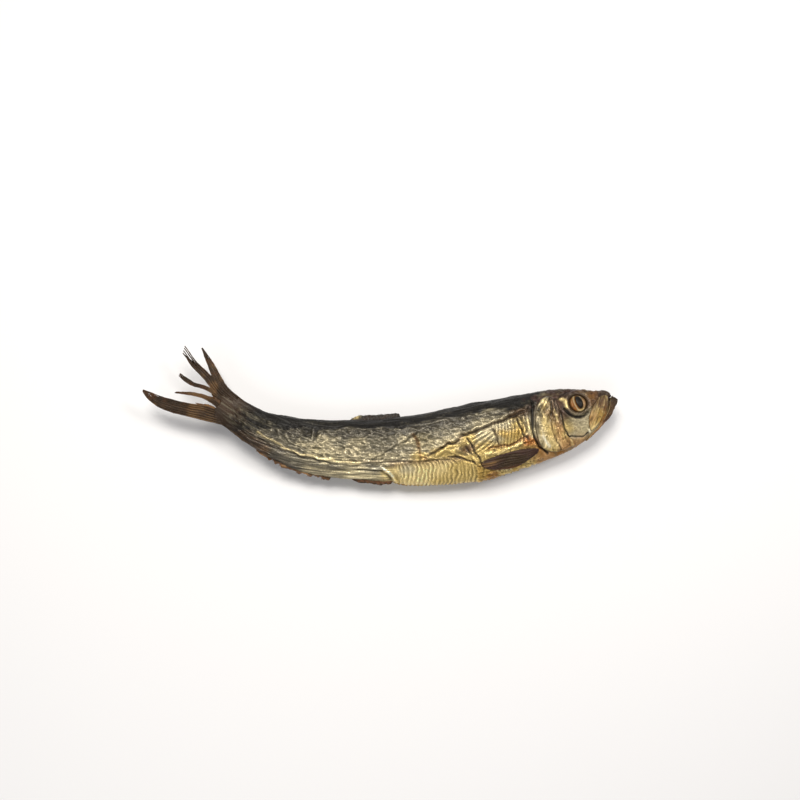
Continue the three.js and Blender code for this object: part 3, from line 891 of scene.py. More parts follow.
# the flesh ends in two lobes at the root of the tail fin
end_shift = np.interp(H[-1], [-8.5, -7.2, -3.9, 0.5, 2.6, 6.9, 8.5], [-1.8, -0.8, 1.5, 0.8, 2.6, 2.1, 1.2])
S = S + end_shift * rise(0.94, 1, even)[:, None]
D = np.sign(np.sin(turn)) * flank(np.minimum(S, BODY_LENGTH), H)
D = D * (1 - 0.62 * rise(0.93, 1.0, even))[:, None]  # thin where the fin begins


def outward_normals(points):
    """Unit normals of a grid whose second axis goes round."""
    along = np.gradient(points, axis=0)
    ring = np.concatenate([points[:, -1:], points, points[:, :1]], 1)
    across = (ring[:, 2:] - ring[:, :-2]) / 2
    normal = np.cross(along, across)
    return normal / np.maximum(np.linalg.norm(normal, axis=-1), 1e-9)[..., None]


body_grid = place(S, H, D)
normals = outward_normals(body_grid)
out_of_bone = body_grid - place(S, np.zeros_like(S), np.zeros_like(S))
normals *= np.sign((normals * out_of_bone).sum(-1))[..., None]  # now all point away from the backbone
relief = relief_of_skin(S, H, D, share)
relief *= (rise(0, 0.008, even) * (1 - rise(0.985, 1, even)))[:, None]  # none on the lip and at the tail
body_grid = body_grid + normals * relief[..., None]
body_grid[..., 2] = np.maximum(body_grid[..., 2], 0)
print("relief from", relief.min().round(2), "to", relief.max().round(2), "mm")


# %% Crests and hollows
def smoothed(values, times):
    """The grid, averaged over its neighbours so many times."""
    for _ in range(times):
        values = (values + np.roll(values, 1, 1) + np.roll(values, -1, 1)) / 3
        padded = np.concatenate([values[:1], values, values[-1:]])
        values = (padded[2:] + padded[:-2] + values) / 3
    return values


crest = (relief - smoothed(relief, 5)) / 0.16
broad_crest = (smoothed(relief, 3) - smoothed(relief, 16)) / 0.25
print("crests up to", crest.max().round(1), "and hollows down to", crest.min().round(1))

# %% [markdown]
# ## Painting the skin
# The colours are laid like a real fish's: silver and gold first, then the black back with its wavering
# edge. Painted shade along the folds and painted highlights on their crests go on last. Spots of colour
# placed by station and height run smoothly into each other, and noise pulls their borders about so that none
# of them looks airbrushed.

# %% Spots of colour on the trunk
# The share of the height at which the black back begins, station by station.
DARK_EDGE = [
    (0, 1.3), (18, 1.05), (27, 1.0), (36, 0.93), (40, 0.72), (49, 0.57), (60, 0.62), (70, 0.69), (81, 0.7),
    (92, 0.71), (103, 0.66), (113, 0.6), (124, 0.6), (134, 0.6), (145, 0.59), (155, 0.55), (166, 0.52),
    (175, 0.25), (184.5, 0.0), (190, -0.35), (196, -0.95), (208, -1.2),
]
# Each spot: its station, its height and its colour.
FLANK_SPOTS = [
    # behind the head
    (49, 8, "umber"), (48, 3, "grey"), (49, -3, "pale"), (50, -7, "orange"), (53, 8.5, "brown"),
    (54, 3, "straw"), (55, -2, "gold"), (56, -6.5, "straw"), (60, 10, "grey"), (60, 4, "silver"),
    (62, 0, "gold"), (61, -5, "straw"), (66, 9, "silver"), (66, 4, "silver"), (66, -1, "pale"),
    (68, -6, "straw"), (72, 10, "silver"), (72, 6, "silver"), (73, 1, "pale"), (72, -4, "straw"),
    (74, -8, "straw"), (79, 11, "slate"), (79, 6, "grey"), (79, 1, "straw"), (80, -4, "brown"),
    (81, -8, "straw"),
    # throat and breast, under the breast fin
    (48, -16, "pink"), (53, -17.5, "straw"), (59, -18, "gold"), (65, -18.5, "straw"), (71, -18.5, "amber"),
    (53, -12, "straw"), (57, -14.5, "gold"), (63, -16.5, "pale"), (75, -17, "gold"),
    # the middle
    (87, 11, "slate"), (88, 7, "grey"), (88, 2.5, "silver"), (88, -3, "straw"), (95, 10, "slate"),
    (95, 6, "grey"), (96, 0, "silver"), (95, -5, "straw"), (103, 9, "slate"), (103, 3, "olive"),
    (102, -2, "silver"), (103, -5, "straw"), (110, 8, "slate"), (110, 3, "silver"), (111, -2, "grey"),
    (112, -5, "silver"), (119, 8, "slate"), (119, 3, "grey"), (119, -1, "grey"), (121, -5, "silver"),
    (127, 8, "slate"), (127, 4, "grey"), (127, 0, "grey"), (128, -5, "silver"), (135, 7, "slate"),
    (135, 3, "silver"), (135, -1, "silver"), (137, -5, "silver"),
    # towards the tail
    (143, 7, "slate"), (143, 3, "grey"), (144, -1, "silver"), (145, -5, "pale"), (151, 7, "grey"),
    (151, 3, "silver"), (152, -1, "silver"), (153, -4.5, "pale"), (160, 6, "black"), (160, 2, "grey"),
    (161, -1, "silver"), (162, -4, "grey"), (169, 3, "slate"), (170, -0.5, "grey"), (170, -4, "grey"),
    (177, 0, "slate"), (178, -3, "grey"), (185, -2, "slate"), (186, -5, "umber"), (193, -4, "umber"),
    # the lower flank behind the vent
    (120, -12, "cream"), (126, -9, "grey"), (128, -13, "pale"), (136, -9.5, "silver"), (137, -13, "pale"),
    (145, -10, "grey"), (146, -13, "silver"), (155, -9, "grey"), (156, -12, "silver"), (165, -8.5, "grey"),
    (165, -11, "slate"), (174, -7.5, "slate"), (175, -10, "slate"), (180, -9, "brown"), (183, -7, "umber"),
    (188, -8, "umber"), (194, -7, "umber"),
]
BELLY_SPOTS = [
    (77, -12, "straw"), (78, -17, "straw"), (85, -11, "straw"), (86, -17, "straw"), (94, -11, "cream"),
    (95, -18, "straw"), (103, -11, "cream"), (104, -17, "cream"), (111, -11, "pale"), (112, -16, "cream"),
    (117, -12, "cream"), (117, -16, "straw"),
]
print(len(FLANK_SPOTS) + len(BELLY_SPOTS), "spots on the trunk")

# %% Spots of colour on the head
HEAD_SPOTS = [
    (3, 3, "umber"), (6, 6, "umber"), (8, 5, "umber"), (12, 9, "brown"), (10, 4, "brown"), (13, 6, "amber"),
    (13, 2, "brown"), (15, 4, "brown"), (14, 8, "olive"), (11, 7, "rust"), (16, 10, "brown"),
    (21, 12.5, "plum"), (24, 12, "umber"), (28, 13, "umber"), (33, 14, "umber"), (37, 15, "slate"),
    (41, 16, "umber"), (35, 12, "plum"), (29.5, 8, "plum"), (31, 7, "brown"), (31.5, 10, "plum"),
    (30, 3, "plum"), (29, 0, "umber"), (32, 0, "brown"), (18, -3, "silver"), (22, -5, "silver"),
    (26, -4, "silver"), (29, -5, "straw"), (19, -8, "pale"), (23, -9, "pale"), (28, -9, "silver"),
    (24, -13, "pink"), (30, -13.5, "pink"), (36, -14.5, "amber"), (42, -15.5, "pink"), (12, -6, "amber"),
    (34, 6, "brown"), (38, 4, "straw"), (38, -4, "straw"), (44, 13, "black"), (46, 9, "black"),
    (46.5, 4, "slate"), (48, 2, "grey"), (47, -5, "silver"), (46, -12, "amber"), (36, 10, "brown"),
]
print(len(HEAD_SPOTS), "spots on the head")

# %% Lines of paint along the folds
# Each line of paint: its line, its width in millimetres, its colour and its strength. The dark lines in the
# creases are painted shade; the cream and white ones run along ridges.
SHADE_AND_TINT_LINES = [
    (FURROW[:-1], 0.8, "brown", 0.75),
    (CREASE[:-1], 0.55, "umber", 0.75),
    (FURROW_END, 0.8, "brown", 0.6),
    (CROSS_FOLD, 0.7, "amber", 0.7),
    (FIN_LINE, 0.7, "orange", 0.75),
    ([(51.5, -8), (50.3, -6.3), (49.6, -5)], 1.1, "orange", 0.7),
    (SHOULDER_PLEAT, 0.7, "brown", 0.6),
    (NECK_PLEAT, 0.7, "umber", 0.7),
    (RIBS_EDGE[:-1], 0.5, "brown", 0.7),
    (BELLY_LINE[:-1], 0.4, "brown", 0.45),
    (SLANTED_FOLD[:-1], 0.5, "olive", 0.5),
    ([(73.2, -8.1), (68.5, -8.9), (61.6, -8.4), (54.4, -7.2)], 0.7, "cream", 0.8),
    (VENT_RIM[1:-1], 0.6, "white", 0.5),
    (TAIL_RIDGE, 0.55, "cream", 0.35),
    (TAIL_GROOVE, 0.6, "umber", 0.5),
    ([(48.6, 4), (48.9, 0), (48.5, -5)], 0.7, "cream", 0.5),
    ([(84, -8.6), (91, -8.3), (100, -8.0), (110, -7.9), (118, -8.2)], 1.5, "brown", 0.62),
]
# On the head, the black lines in the groove round the cheek, in the fold under the eye and in the gill slit
# are painted shade.
HEAD_SHADE_AND_TINT_LINES = [
    (CHEEK_EDGE, 0.5, "black", 0.95),
    ([(28.6, 3.9), (27.1, 0.6), (24.9, -1.3), (22.6, -2.0), (20.4, -2.0), (17.4, -1.0)], 1.25, "black", 0.95),
    ([(28.6, 9.4), (27.2, 8.3), (26.6, 6.2), (26.9, 4.4)], 0.95, "cream", 0.9),
    (CHEEK_FRONT, 0.6, "white", 0.6),
    (GILL_SLIT, 0.7, "black", 0.8),
    ([(39, 14.8), (38.2, 14.2), (37.2, 15.0)], 0.5, "grey", 0.5),
    ([(8.1, 5.2), (4.6, 3.2)], 1.4, "umber", 0.8),
]
print(len(SHADE_AND_TINT_LINES) + len(HEAD_SHADE_AND_TINT_LINES), "stains")


# %% The colour under the stains
def ground_of_skin(where, share):
    """The ground colour, and how far each point belongs to the black back and to the head."""
    station, height = where[..., 0], where[..., 1]
    s = station + 2.0 * rumple(where, (6, 4, 6), 81, 2)
    h = height + 1.2 * rumple(where, (6, 4, 6), 82, 2)
    paint = from_spots(s, h, FLANK_SPOTS, 1.5)
    belly_share = share + 0.04 * rumple(where, (4, 3, 4), 83)
    belly = window(station, 78.5, 116, 1.2) * (1 - rise(-0.47, -0.4, belly_share))
    paint = lay(paint, from_spots(s, h, BELLY_SPOTS, 1.2), belly)
    head = 1 - rise(44, 48, s)
    head_paint = from_spots(station + 0.8 * (s - station), height + 0.8 * (h - height), HEAD_SPOTS)
    paint = lay(paint, head_paint, head)

    # the flank is speckled with grey where the silver has rubbed off
    rubbed_and_highlight = rise(0.1, 0.7, rumple(where, (5, 2.2, 4), 84, 3)) * window(share, -0.35, 0.7, 0.1)
    paint = lay(paint, "grey", 0.45 * rubbed_and_highlight * window(station, 56, 180, 10))
    # the black back, its edge drawn out in lengthwise streaks
    edge = np.interp(station, *np.array(DARK_EDGE).T)
    streaked = share + 0.07 * rumple(where, (16, 1.3, 2), 85, 2) + 0.05 * rumple(where, (4, 2, 3), 86)
    dark = rise(-0.05, 0.06, streaked - edge)
    bluish = rise(0.1, 0.6, rumple(where, (10, 2.2, 3), 87, 2)) * window(station, 45, 170, 12)
    back_paint = lay(np.broadcast_to(PALETTE["black"], paint.shape), "blue black", 0.6 * bluish)
    under_edge = np.exp(-(((streaked - edge + 0.13) / 0.11) ** 2)) * window(station, 60, 175, 12)
    paint = lay(paint, "slate", 0.9 * under_edge)
    paint = lay(paint, back_paint, dark)
    # the tail end of the body is burnt brown
    paint = lay(paint, "umber", 0.8 * rise(190, 200, s))
    paint = lay(paint, "rust", 0.1 * rise(196, 206, s))
    return paint, dark, head


print("mid flank before staining", ground_of_skin(*trial_points(100.0, 0.0))[0].round(3))


# %% Blotches, painted shade and painted highlights
def marks_shade_and_highlights(paint, where, share, dark, head):
    """The paint with its blotches and streaks, and with every line of paint: painted shade in the creases,
    pale lines on ridges.
    """
    station, height, depth = np.moveaxis(where, -1, 0)
    # blotches of the head: plum and olive between the bones, pale where the bone shows
    blotch = rumple(where, (3.2, 2.4, 3), 91, 3)
    paint = lay(paint, "plum", 0.75 * head * rise(0.05, 0.5, blotch) * rise(0.15, 0.4, share))
    bare = head * (1 - dark) * rise(0.55, 0.75, share)
    paint = lay(paint, "pale", 0.3 * bare * rise(0.3, 0.75, -blotch))
    tarnish = rise(0.1, 0.6, rumple(where, (2.6, 3.4, 3), 92, 2)) * (1 - rise(-0.1, 0.1, share))
    paint = lay(paint, "olive", 0.5 * head * tarnish)
    # painted highlights: pale lengthwise streaks on the dark stem of the tail
    stem = ridged(where, (16, 1.3, 2), 93, 5) * rise(172, 182, station) * window(share, -0.5, 0.45, 0.2)
    paint = lay(paint, "grey", 0.75 * stem)

    up = rise(-1.5, 1.5, depth)
    bent = wandered(where, WANDER, 3)
    # lines of paint along the folds: the dark ones in the creases are painted shade
    for line, width, colour, strength in SHADE_AND_TINT_LINES:
        paint = lay(paint, colour, up * strength * stroke(*bent, line, width))
    bent = wandered(where, HEAD_WANDER, 2.6)
    # lines of paint on the head, the black ones painted shade, made patchy by noise
    patchy = 0.6 + 0.4 * rise(-0.5, 0.3, rumple(where, (2.6, 2.6, 2.6), 94, 2))
    for line, width, colour, strength in HEAD_SHADE_AND_TINT_LINES:
        paint = lay(paint, colour, patchy * strength * stroke(*bent, line, width))
    # a dark ring round the eye's socket
    far = np.hypot(station - EYE_CENTRE[0], height - EYE_CENTRE[1])
    return lay(paint, "umber", 0.85 * np.exp(-(((far - EYE_SOCKET) / 0.7) ** 2)))


furrow_ground, furrow_dark, furrow_head = ground_of_skin(furrow_point, furrow_share)
print("the furrow before", furrow_ground.round(3), "and after staining",
      marks_shade_and_highlights(furrow_ground, furrow_point, furrow_share, furrow_dark, furrow_head).round(3))


# %% Painted shade in the hollows and painted highlights on the crests
def shade_and_highlights(paint, where, share, dark, crest, broad_crest):
    """The paint with painted shade in the hollows, painted highlights on the crests and painted glints on the
    dark back.
    """
    station = where[..., 0]
    # painted shade: the paint is darker in the fine and the broad hollows of the relief
    paint = paint * (1 - 0.42 * np.clip(-crest, 0, 2.2))[..., None].clip(0.3, 1)
    paint = paint * (1 - 0.2 * np.clip(-broad_crest, 0, 2))[..., None]
    # painted highlights: the crests of the relief are lightened
    rubbed_and_highlight = paint * 1.7 + 0.03 * (1 - 0.8 * dark[..., None])
    paint = lay(paint, rubbed_and_highlight, (0.55 + 0.3 * window(station, 80, 112, 8)) * np.clip(crest, 0, 2))
    # painted glints: grey flecks on the dark back
    glints = ridged(where, (2.2, 0.9, 1.4), 88, 7) * rise(0.0, 0.5, rumple(where, (9, 4, 5), 89))
    paint = lay(paint, "grey", 0.34 * glints * dark)
    # fine lengthwise lines on the lower flank behind the belly
    low_aft = rise(112, 124, station) * (1 - rise(-0.35, -0.2, share))
    lengthwise = ridged(where, (18, 0.95, 2), 90, 2) * low_aft
    return paint * (0.6 + lengthwise * (1 - dark) + 0.4 * (1 - low_aft))[..., None]


def paint_of_skin(where, share, crest, broad_crest):
    """The colour and the metallic shine at each point of the skin."""
    paint, dark, head = ground_of_skin(where, share)
    paint = marks_shade_and_highlights(paint, where, share, dark, head)
    paint = shade_and_highlights(paint, where, share, dark, crest, broad_crest)
    shine = 0.34 * (1 - dark) * (1 - 0.6 * head) + 0.1
    shine = shine * (1 - 0.35 * np.clip(-crest, 0, 1.5)) + 0.1 * np.clip(crest, 0, 2) * (1 - 0.5 * dark)
    return paint, shine


tint, shine = paint_of_skin(np.stack([S, H, D], -1), share, crest, broad_crest)
print("mean colour", tint.mean((0, 1)).round(3))


# %% Closing the body at the mouth and the tail
# Each step inwards: the share of the ring that is left, and a push along x in millimetres.
MOUTH_STEPS = [(0.975, 0.05), (0.93, -0.25), (0.8, -1.2), (0.6, -2), (0.35, -2.5)]
TAIL_STEPS = [(0.96, -0.25), (0.8, -0.3), (0.4, -0.3)]
MOUTH_CENTRE = (15.0, -3.0)
TAIL_CENTRE = (BODY_LENGTH + 1.2, -0.3)


def closing_rings(ring, centre, steps):
    """Rings that shrink a ring of points towards a centre."""
    middle = place(*centre, 0.0)
    return [middle + (ring - middle) * left + np.array([push, 0, 0]) for left, push in steps]


mouth = closing_rings(body_grid[0], MOUTH_CENTRE, MOUTH_STEPS)
tail = closing_rings(body_grid[-1], TAIL_CENTRE, TAIL_STEPS)


def with_ends(values):
    """Values of the body's grid, repeated over the closing rings and the poles."""
    return over_rings([values[0]] * len(mouth) + list(values) + [values[-1]] * len(tail))


points, faces = close_rings(mouth[::-1] + list(body_grid) + tail)
inside_mouth = np.arange(len(points)) < (len(mouth) - 1) * len(turn)
skin_tint = lay(with_ends(tint), "umber", 0.9 * inside_mouth)
make_piece("body_skin", points, faces, skin_tint, with_ends(shine), [SKIN], "body")

# %% [markdown]
# ## Plates that lie on the body
# The gill covers, the upper jaws and the breast fins are thin plates that follow the flank under them. Each
# is made from its outline: rings of points shrink from the outline to its middle, and every point is set on
# the flank and then raised along the flank's own normal. The rim is rolled under, so that a plate is a
# closed solid and casts a fine shadow where it stands off the skin.

# %% Points on the flank
PIECE_GAP = 0.4
GILL_COVER_THICKNESS = 0.9
UPPER_JAW_THICKNESS = 0.7
BREAST_FIN_THICKNESS = 0.6
LEAST_HEIGHT = 0.06  # no plate comes closer to the floor than this
SIDES = ((1, "right"), (-1, "left"))  # the right flank faces up


def on_flank(station, height, side, lift):
    """A point raised off the flank along its normal; side is 1 for the flank that faces up, or -1."""
    def at(s, h):
        return place(s, h, side * flank(s, h))

    span = 0.25
    along = at(station + span, height) - at(station - span, height)
    across = at(station, height + span) - at(station, height - span)
    normal = np.cross(along, across)
    normal /= np.linalg.norm(normal, axis=-1)[..., None]
    normal *= np.sign(normal[..., 2:]) * side
    point = at(station, height) + normal * np.asarray(lift)[..., None]
    point[..., 2] = np.maximum(point[..., 2], LEAST_HEIGHT)
    return point


def closed_outline(points, count):
    """An even, smooth, closed line through the points."""
    p = np.array(points, float)
    p = np.vstack([p[-1:], p, p[:2]])
    t = np.linspace(0, 1, 24, endpoint=False)[:, None]
    spans = []
    for a, b, c, d in zip(p, p[1:], p[2:], p[3:]):
        square, cube = 2 * a - 5 * b + 4 * c - d, 3 * b - a - 3 * c + d
        spans.append(0.5 * (2 * b + (c - a) * t + square * t**2 + cube * t**3))
    line = np.vstack(spans + [spans[0][:1]])
    run = np.r_[0, np.cumsum(np.linalg.norm(np.diff(line, axis=0), axis=1))]
    even = np.linspace(0, run[-1], count, endpoint=False)
    return np.stack([np.interp(even, run, line[:, k]) for k in (0, 1)], -1)


def in_shares(outline):
    """Shares of the body's length and half depth, turned into millimetres."""
    return [(a * BODY_LENGTH, b * float(half_depth(a * BODY_LENGTH))) for a, b in outline]


print("a point 1 mm off the flank:", on_flank(100.0, 0.0, 1, 1.0).round(2))

# %% A plate from its outline
# The under side: how far out each ring of it lies, and its lift off the flank.
UNDER_SIDE = ((0.995, 0.3), (0.97, 0.12), (0.6, 0.1), (0.2, 0.1))


def make_plate(name, outline, middle, side, thickness, look, material, node, spokes=168, rings=38):
    """A plate on the flank. look(s, h, r) gives its relief, colour and shine; r is 1 at the rim."""
    rim = closed_outline(outline, spokes)

    def shrunk(out):
        return [middle[k] + (rim[:, k] - middle[k]) * out for k in (0, 1)]

    out = np.r_[np.linspace(0, 1, rings + 1)[1:][::-1] ** 0.85, 0.02][:, None]
    s, h = shrunk(out)
    r = np.broadcast_to(out, s.shape)
    relief, tint, shine = look(s, h, r)
    crown = np.sqrt(np.clip(1 - r**8, 0, 1))
    top = on_flank(s, h, side, PIECE_GAP + thickness * (0.15 + 0.85 * crown) + relief * crown)
    under = [on_flank(*shrunk(left), side, np.full(spokes, lift)) for left, lift in UNDER_SIDE]
    points, faces = close_rings(list(top[::-1]) + under)

    def carry(values):
        return over_rings(list(values[::-1]) + [values[0]] * len(under))

    return make_piece(name, points, faces, carry(tint), carry(shine), [material], node)


print("plates start", PIECE_GAP, "mm off the flank")

# %% [markdown]
# ## Gill covers and upper jaws
# The gill cover is a thin bone, rounded at the back, with a knob where it hinges on the skull and ridges
# that fan out from there. Dried skin over it is cream and gold, with a pink band where the cheek begins.
# The upper jaw is a small paddle of bone that starts at the snout and ends under the eye.

# %% Shape and colours of the gill cover
# An outline is in shares of the body's length and of its half depth there.
GILL_COVER_OUTLINE = [
    (0.15, 0.5), (0.162, 0.72), (0.182, 0.7), (0.2, 0.5), (0.214, 0.19), (0.2205, -0.09), (0.222, -0.37),
    (0.2175, -0.6), (0.206, -0.76), (0.188, -0.86), (0.168, -0.9), (0.148, -0.92), (0.135, -0.9),
    (0.1505, -0.56), (0.154, -0.3), (0.1505, 0.1),
]
GILL_SPOTS = [
    (33, 11, "plum"), (36, 12, "grey"), (38, 10, "pale"), (37.6, 7, "gold"), (41, 6, "olive"),
    (34, 7, "plum"), (33, 3, "umber"), (40.5, 10, "grey"), (42.5, 8, "umber"), (35, 4, "umber"),
    (38, 4, "brown"), (36, 2, "brown"), (39, 1, "straw"), (43, 2, "silver"), (44.5, 6, "umber"),
    (33, -1, "brown"), (34.5, -5, "pink"), (35.5, -9, "pink"), (34.5, -13, "pink"), (38, -5, "straw"),
    (41, -3, "cream"), (44, -4, "silver"), (39, -10, "cream"), (42, -9, "cream"), (44.5, -9, "silver"),
    (40, -14, "straw"), (36, -16, "pink"), (31.5, -15, "pink"), (31, -11, "pink"), (32.5, -8, "straw"),
    (45.5, -1, "slate"),
]
GILL_MIDDLE = (38.6, -3.5)
GILL_GROOVE = [(34.2, 10), (35.2, 5), (36.8, 1), (37.8, -4), (37.4, -9), (36, -14)]
GILL_HINGE = (31, 14)
print(len(GILL_SPOTS), "spots on a gill cover")


# %% Gill covers
def gill_relief(s, h, where):
    """The bone's knob, its fan of ribs, its drawn grooves and ridges, and its fine wrinkles."""
    fan = np.arctan2(h - GILL_HINGE[1], s - GILL_HINGE[0])
    ribs = np.cos(fan * 26 + 1.2 * rumple(where, (5, 5, 5), 101))
    relief = 0.75 * spot(s, h, (37.6, 9.2), (2.3, 2.9)) + 0.2 * ribs
    relief += 0.45 * rumple(where, (5, 7, 5), 102, 2)
    relief += -0.35 * stroke(s, h, [(41, 7), (41.3, 2), (40, -3)], 0.7)
    relief += 0.35 * stroke(s, h, [(42.6, 3), (43.6, -2), (43.4, -6.5), (41.6, -11)], 0.9)
    relief += -0.45 * stroke(s, h, GILL_GROOVE, 0.6)
    relief += -0.3 * stroke(s, h, [(31.5, -13.5), (36, -14.6), (40, -13.5)], 0.5)
    relief += 0.28 * ridged(where, (1.8, 2.6, 4), 103, 4)
    return relief + 0.2 * (foil(where, (2.6, 3.0, 4), 104) - 0.5)


def gill_cover_look(side):
    """The relief, colour and shine of a gill cover."""
    def look(s, h, r):
        where = np.stack([s, h, np.full(s.shape, 9.0 * side)], -1)
        relief = gill_relief(s, h, where)
        crest = (relief - smoothed(relief, 4)) / 0.09
        peak = np.clip(crest, 0, 2)
        pushed = [v + 0.9 * rumple(where, (3, 3, 3), seed, 2) for v, seed in ((s, 105), (h, 106))]
        tint = from_spots(*pushed, GILL_SPOTS)
        # painted highlight: white along the raised ridge of the lower cover
        tint = lay(tint, "white", 0.75 * stroke(s, h, [(43.3, -6.3), (42.6, -9), (41.4, -11.4)], 0.8))
        tint = lay(tint, "cream", 0.8 * stroke(s, h, [(40.4, 1), (41.2, -2)], 1.0))
        tint = lay(tint, "cream", 0.8 * spot(s, h, (37.8, 10.4), (1.7, 1.6)))
        tint = lay(tint, "olive", 0.6 * spot(s, h, (36.6, 6.8), (1.8, 1.3)))
        # painted shade: brown along the groove
        tint = lay(tint, "brown", 0.45 * stroke(s, h, GILL_GROOVE[:-1], 0.7))
        tint = lay(tint, "umber", 0.75 * rise(0.93, 1.0, r))
        tarnish = rise(0.15, 0.75, rumple(where, (2.6, 5, 4), 107, 2)) * rise(-12, -2, h)
        tint = lay(tint, "olive", 0.5 * tarnish)
        bare = rise(0.3, 0.9, rumple(where, (2, 4, 4), 108, 2)) * (1 - rise(5, 9, h))
        tint = lay(tint, "cream", 0.5 * bare)
        # painted shade in the hollows of the relief and painted highlights on its crests
        tint = tint * (1 - 0.38 * np.clip(-crest, 0, 2))[..., None]
        tint = lay(tint, tint * 1.7 + 0.03, 0.6 * peak)
        return relief, tint, 0.26 + 0.14 * peak
    return look


for side, side_name in SIDES:
    make_plate(
        side_name + "_gill_cover_bone", in_shares(GILL_COVER_OUTLINE), GILL_MIDDLE, side,
        GILL_COVER_THICKNESS, gill_cover_look(side), GILL_BONE, side_name + "_gill_cover",
    )

# %% Upper jaws
UPPER_JAW_OUTLINE = [
    (0.025, 0.7), (0.0345, -0.12), (0.0495, -0.52), (0.07, -0.72), (0.0915, -0.8), (0.0935, -0.6),
    (0.085, -0.24), (0.068, 0.08), (0.045, 0.5),
]
UPPER_JAW_SPOTS = [
    (6, 6, "umber"), (7, 2, "brown"), (10, 3, "brown"), (10, -2, "rust"), (13, 1, "brown"),
    (13, -1, "brown"), (12, -5, "gold"), (16, -4, "pink"), (15, -7, "gold"), (18, -7, "pink"),
    (18.5, -9, "cream"), (13, -3, "gold"),
]
UPPER_JAW_MIDDLE = (12.6, -2.6)
UPPER_JAW_EDGE = [(5.6, 2.6), (6.6, -1.4), (9.6, -5.6), (13.8, -7.9), (18.4, -9.4)]


def upper_jaw_look(side):
    """The relief, colour and shine of an upper jaw."""
    def look(s, h, r):
        where = np.stack([s, h, np.full(s.shape, 5.0 * side)], -1)
        slanted = turned(where, 0.75, 0.66)
        edge = stroke(s, h, UPPER_JAW_EDGE, 0.7)
        relief = 0.28 * ridged(slanted, (1.3, 6, 4), 111, 2) + 0.4 * edge
        relief += 0.25 * rumple(where, (4, 4, 4), 112)
        crest = (relief - smoothed(relief, 3)) / 0.08
        pushed = [v + rumple(where, (2, 2, 2), seed) for v, seed in ((s, 113), (h, 114))]
        tint = from_spots(*pushed, UPPER_JAW_SPOTS)
        tint = lay(tint, "cream", 0.6 * edge)
        tint = lay(tint, "cream", 0.5 * ridged(slanted, (1.4, 6, 4), 116, 6))
        tint = lay(tint, "umber", 0.8 * ridged(slanted, (1.2, 5, 4), 115, 4))
        tint = lay(tint, "umber", 0.6 * rise(0.94, 1.0, r))
        # painted shade: darker in the hollows of the relief
        tint = tint * (1 - 0.3 * np.clip(-crest, 0, 2))[..., None]
        return relief, tint, 0.12 + 0.1 * np.clip(crest, 0, 1)
    return look


for side, side_name in SIDES:
    make_plate(
        side_name + "_upper_jaw_bone", in_shares(UPPER_JAW_OUTLINE), UPPER_JAW_MIDDLE, side,
        UPPER_JAW_THICKNESS, upper_jaw_look(side), JAW_BONE, side_name + "_upper_jaw",
        spokes=120, rings=26,
    )

# %% [markdown]
# ## Breast fins
# A breast fin dries flat against the belly, almost black, with its rays showing as ridges that run out from
# the root. It is a plate as well, only longer, and it narrows to a rounded tip.

# %% Breast fins
FIN_MEMBRANE = fish_finish(
    "dried fin", grain=0.55, bump=0.45, roughness=0.42, coat=0.25, see_through=0.16, speck=0.25
)
BREAST_FIN_LEAF = [
    (0, 0.3), (0.3, 0.5), (0.66, 0.46), (0.95, 0.3), (1, 0.12), (0.94, -0.18), (0.74, -0.42), (0.42, -0.5),
    (0.14, -0.2), (0, 0.05),
]
BREAST_FIN_START = 0.2284 * BODY_LENGTH
BREAST_FIN_LENGTH = 28.0
BREAST_FIN_WIDTH = 7.4
BREAST_FIN_HEIGHT = -0.7 * float(half_depth(BREAST_FIN_START + BREAST_FIN_LENGTH / 2))


def on_breast_fin(a, c):
    """Station and height of a point that is given by shares of the fin's length and width."""
    return BREAST_FIN_START + BREAST_FIN_LENGTH * a, BREAST_FIN_HEIGHT + BREAST_FIN_WIDTH * c


def breast_fin_look(side):
    """The relief, colour and shine of a breast fin."""
    def look(s, h, r):
        a = (s - BREAST_FIN_START) / BREAST_FIN_LENGTH
        c = (h - BREAST_FIN_HEIGHT) / BREAST_FIN_WIDTH
        where = np.stack([s, h, np.full(s.shape, 7.0 * side)], -1)
        fan = c / (0.35 + 0.65 * a) + 0.15 * rumple(where, (9, 4, 4), 121)
        rays = np.abs(np.cos(fan * 13))
        relief = 0.34 * (rays - 0.5) * rise(0.02, 0.2, a) + 0.4 * rumple(where, (7, 3, 4), 122, 2)
        crest = (relief - smoothed(relief, 3)) / 0.08
        tint = np.broadcast_to(PALETTE["plum"], s.shape + (3,))
        tint = lay(tint, "umber", rise(0, 0.6, rumple(where, (6, 1.4, 4), 123)))
        tint = lay(tint, "rust", 0.8 * rise(0.25, 0.5, -c) * rise(0.2, 0.4, a))
        # painted highlights: a pink patch near the tip and pink on the crests of the rays
        tint = lay(tint, "pink", 0.55 * spot(s, h, (72, BREAST_FIN_HEIGHT + 0.4), (4, 0.7), -8))
        tint = lay(tint, "pink", 0.35 * rise(0.3, 1.5, crest) * rise(0.4, 1, a))
        # painted shade: brown in the hollows; then painted highlights on the crests and painted shade in the
        # hollows
        tint = lay(tint, "brown", 0.5 * rise(0.35, 0.9, -crest))
        tint = tint * (1 + 0.35 * np.clip(crest, -1.6, 2))[..., None]
        return relief, tint, 0.1 + 0.12 * np.clip(crest, 0, 1)
    return look


for side, side_name in SIDES:
    make_plate(
        side_name + "_breast_fin", [on_breast_fin(a, c) for a, c in BREAST_FIN_LEAF], on_breast_fin(0.52, 0),
        side, BREAST_FIN_THICKNESS, breast_fin_look(side), FIN_MEMBRANE, side_name + "_pectoral_fin",
        spokes=190, rings=26,
    )

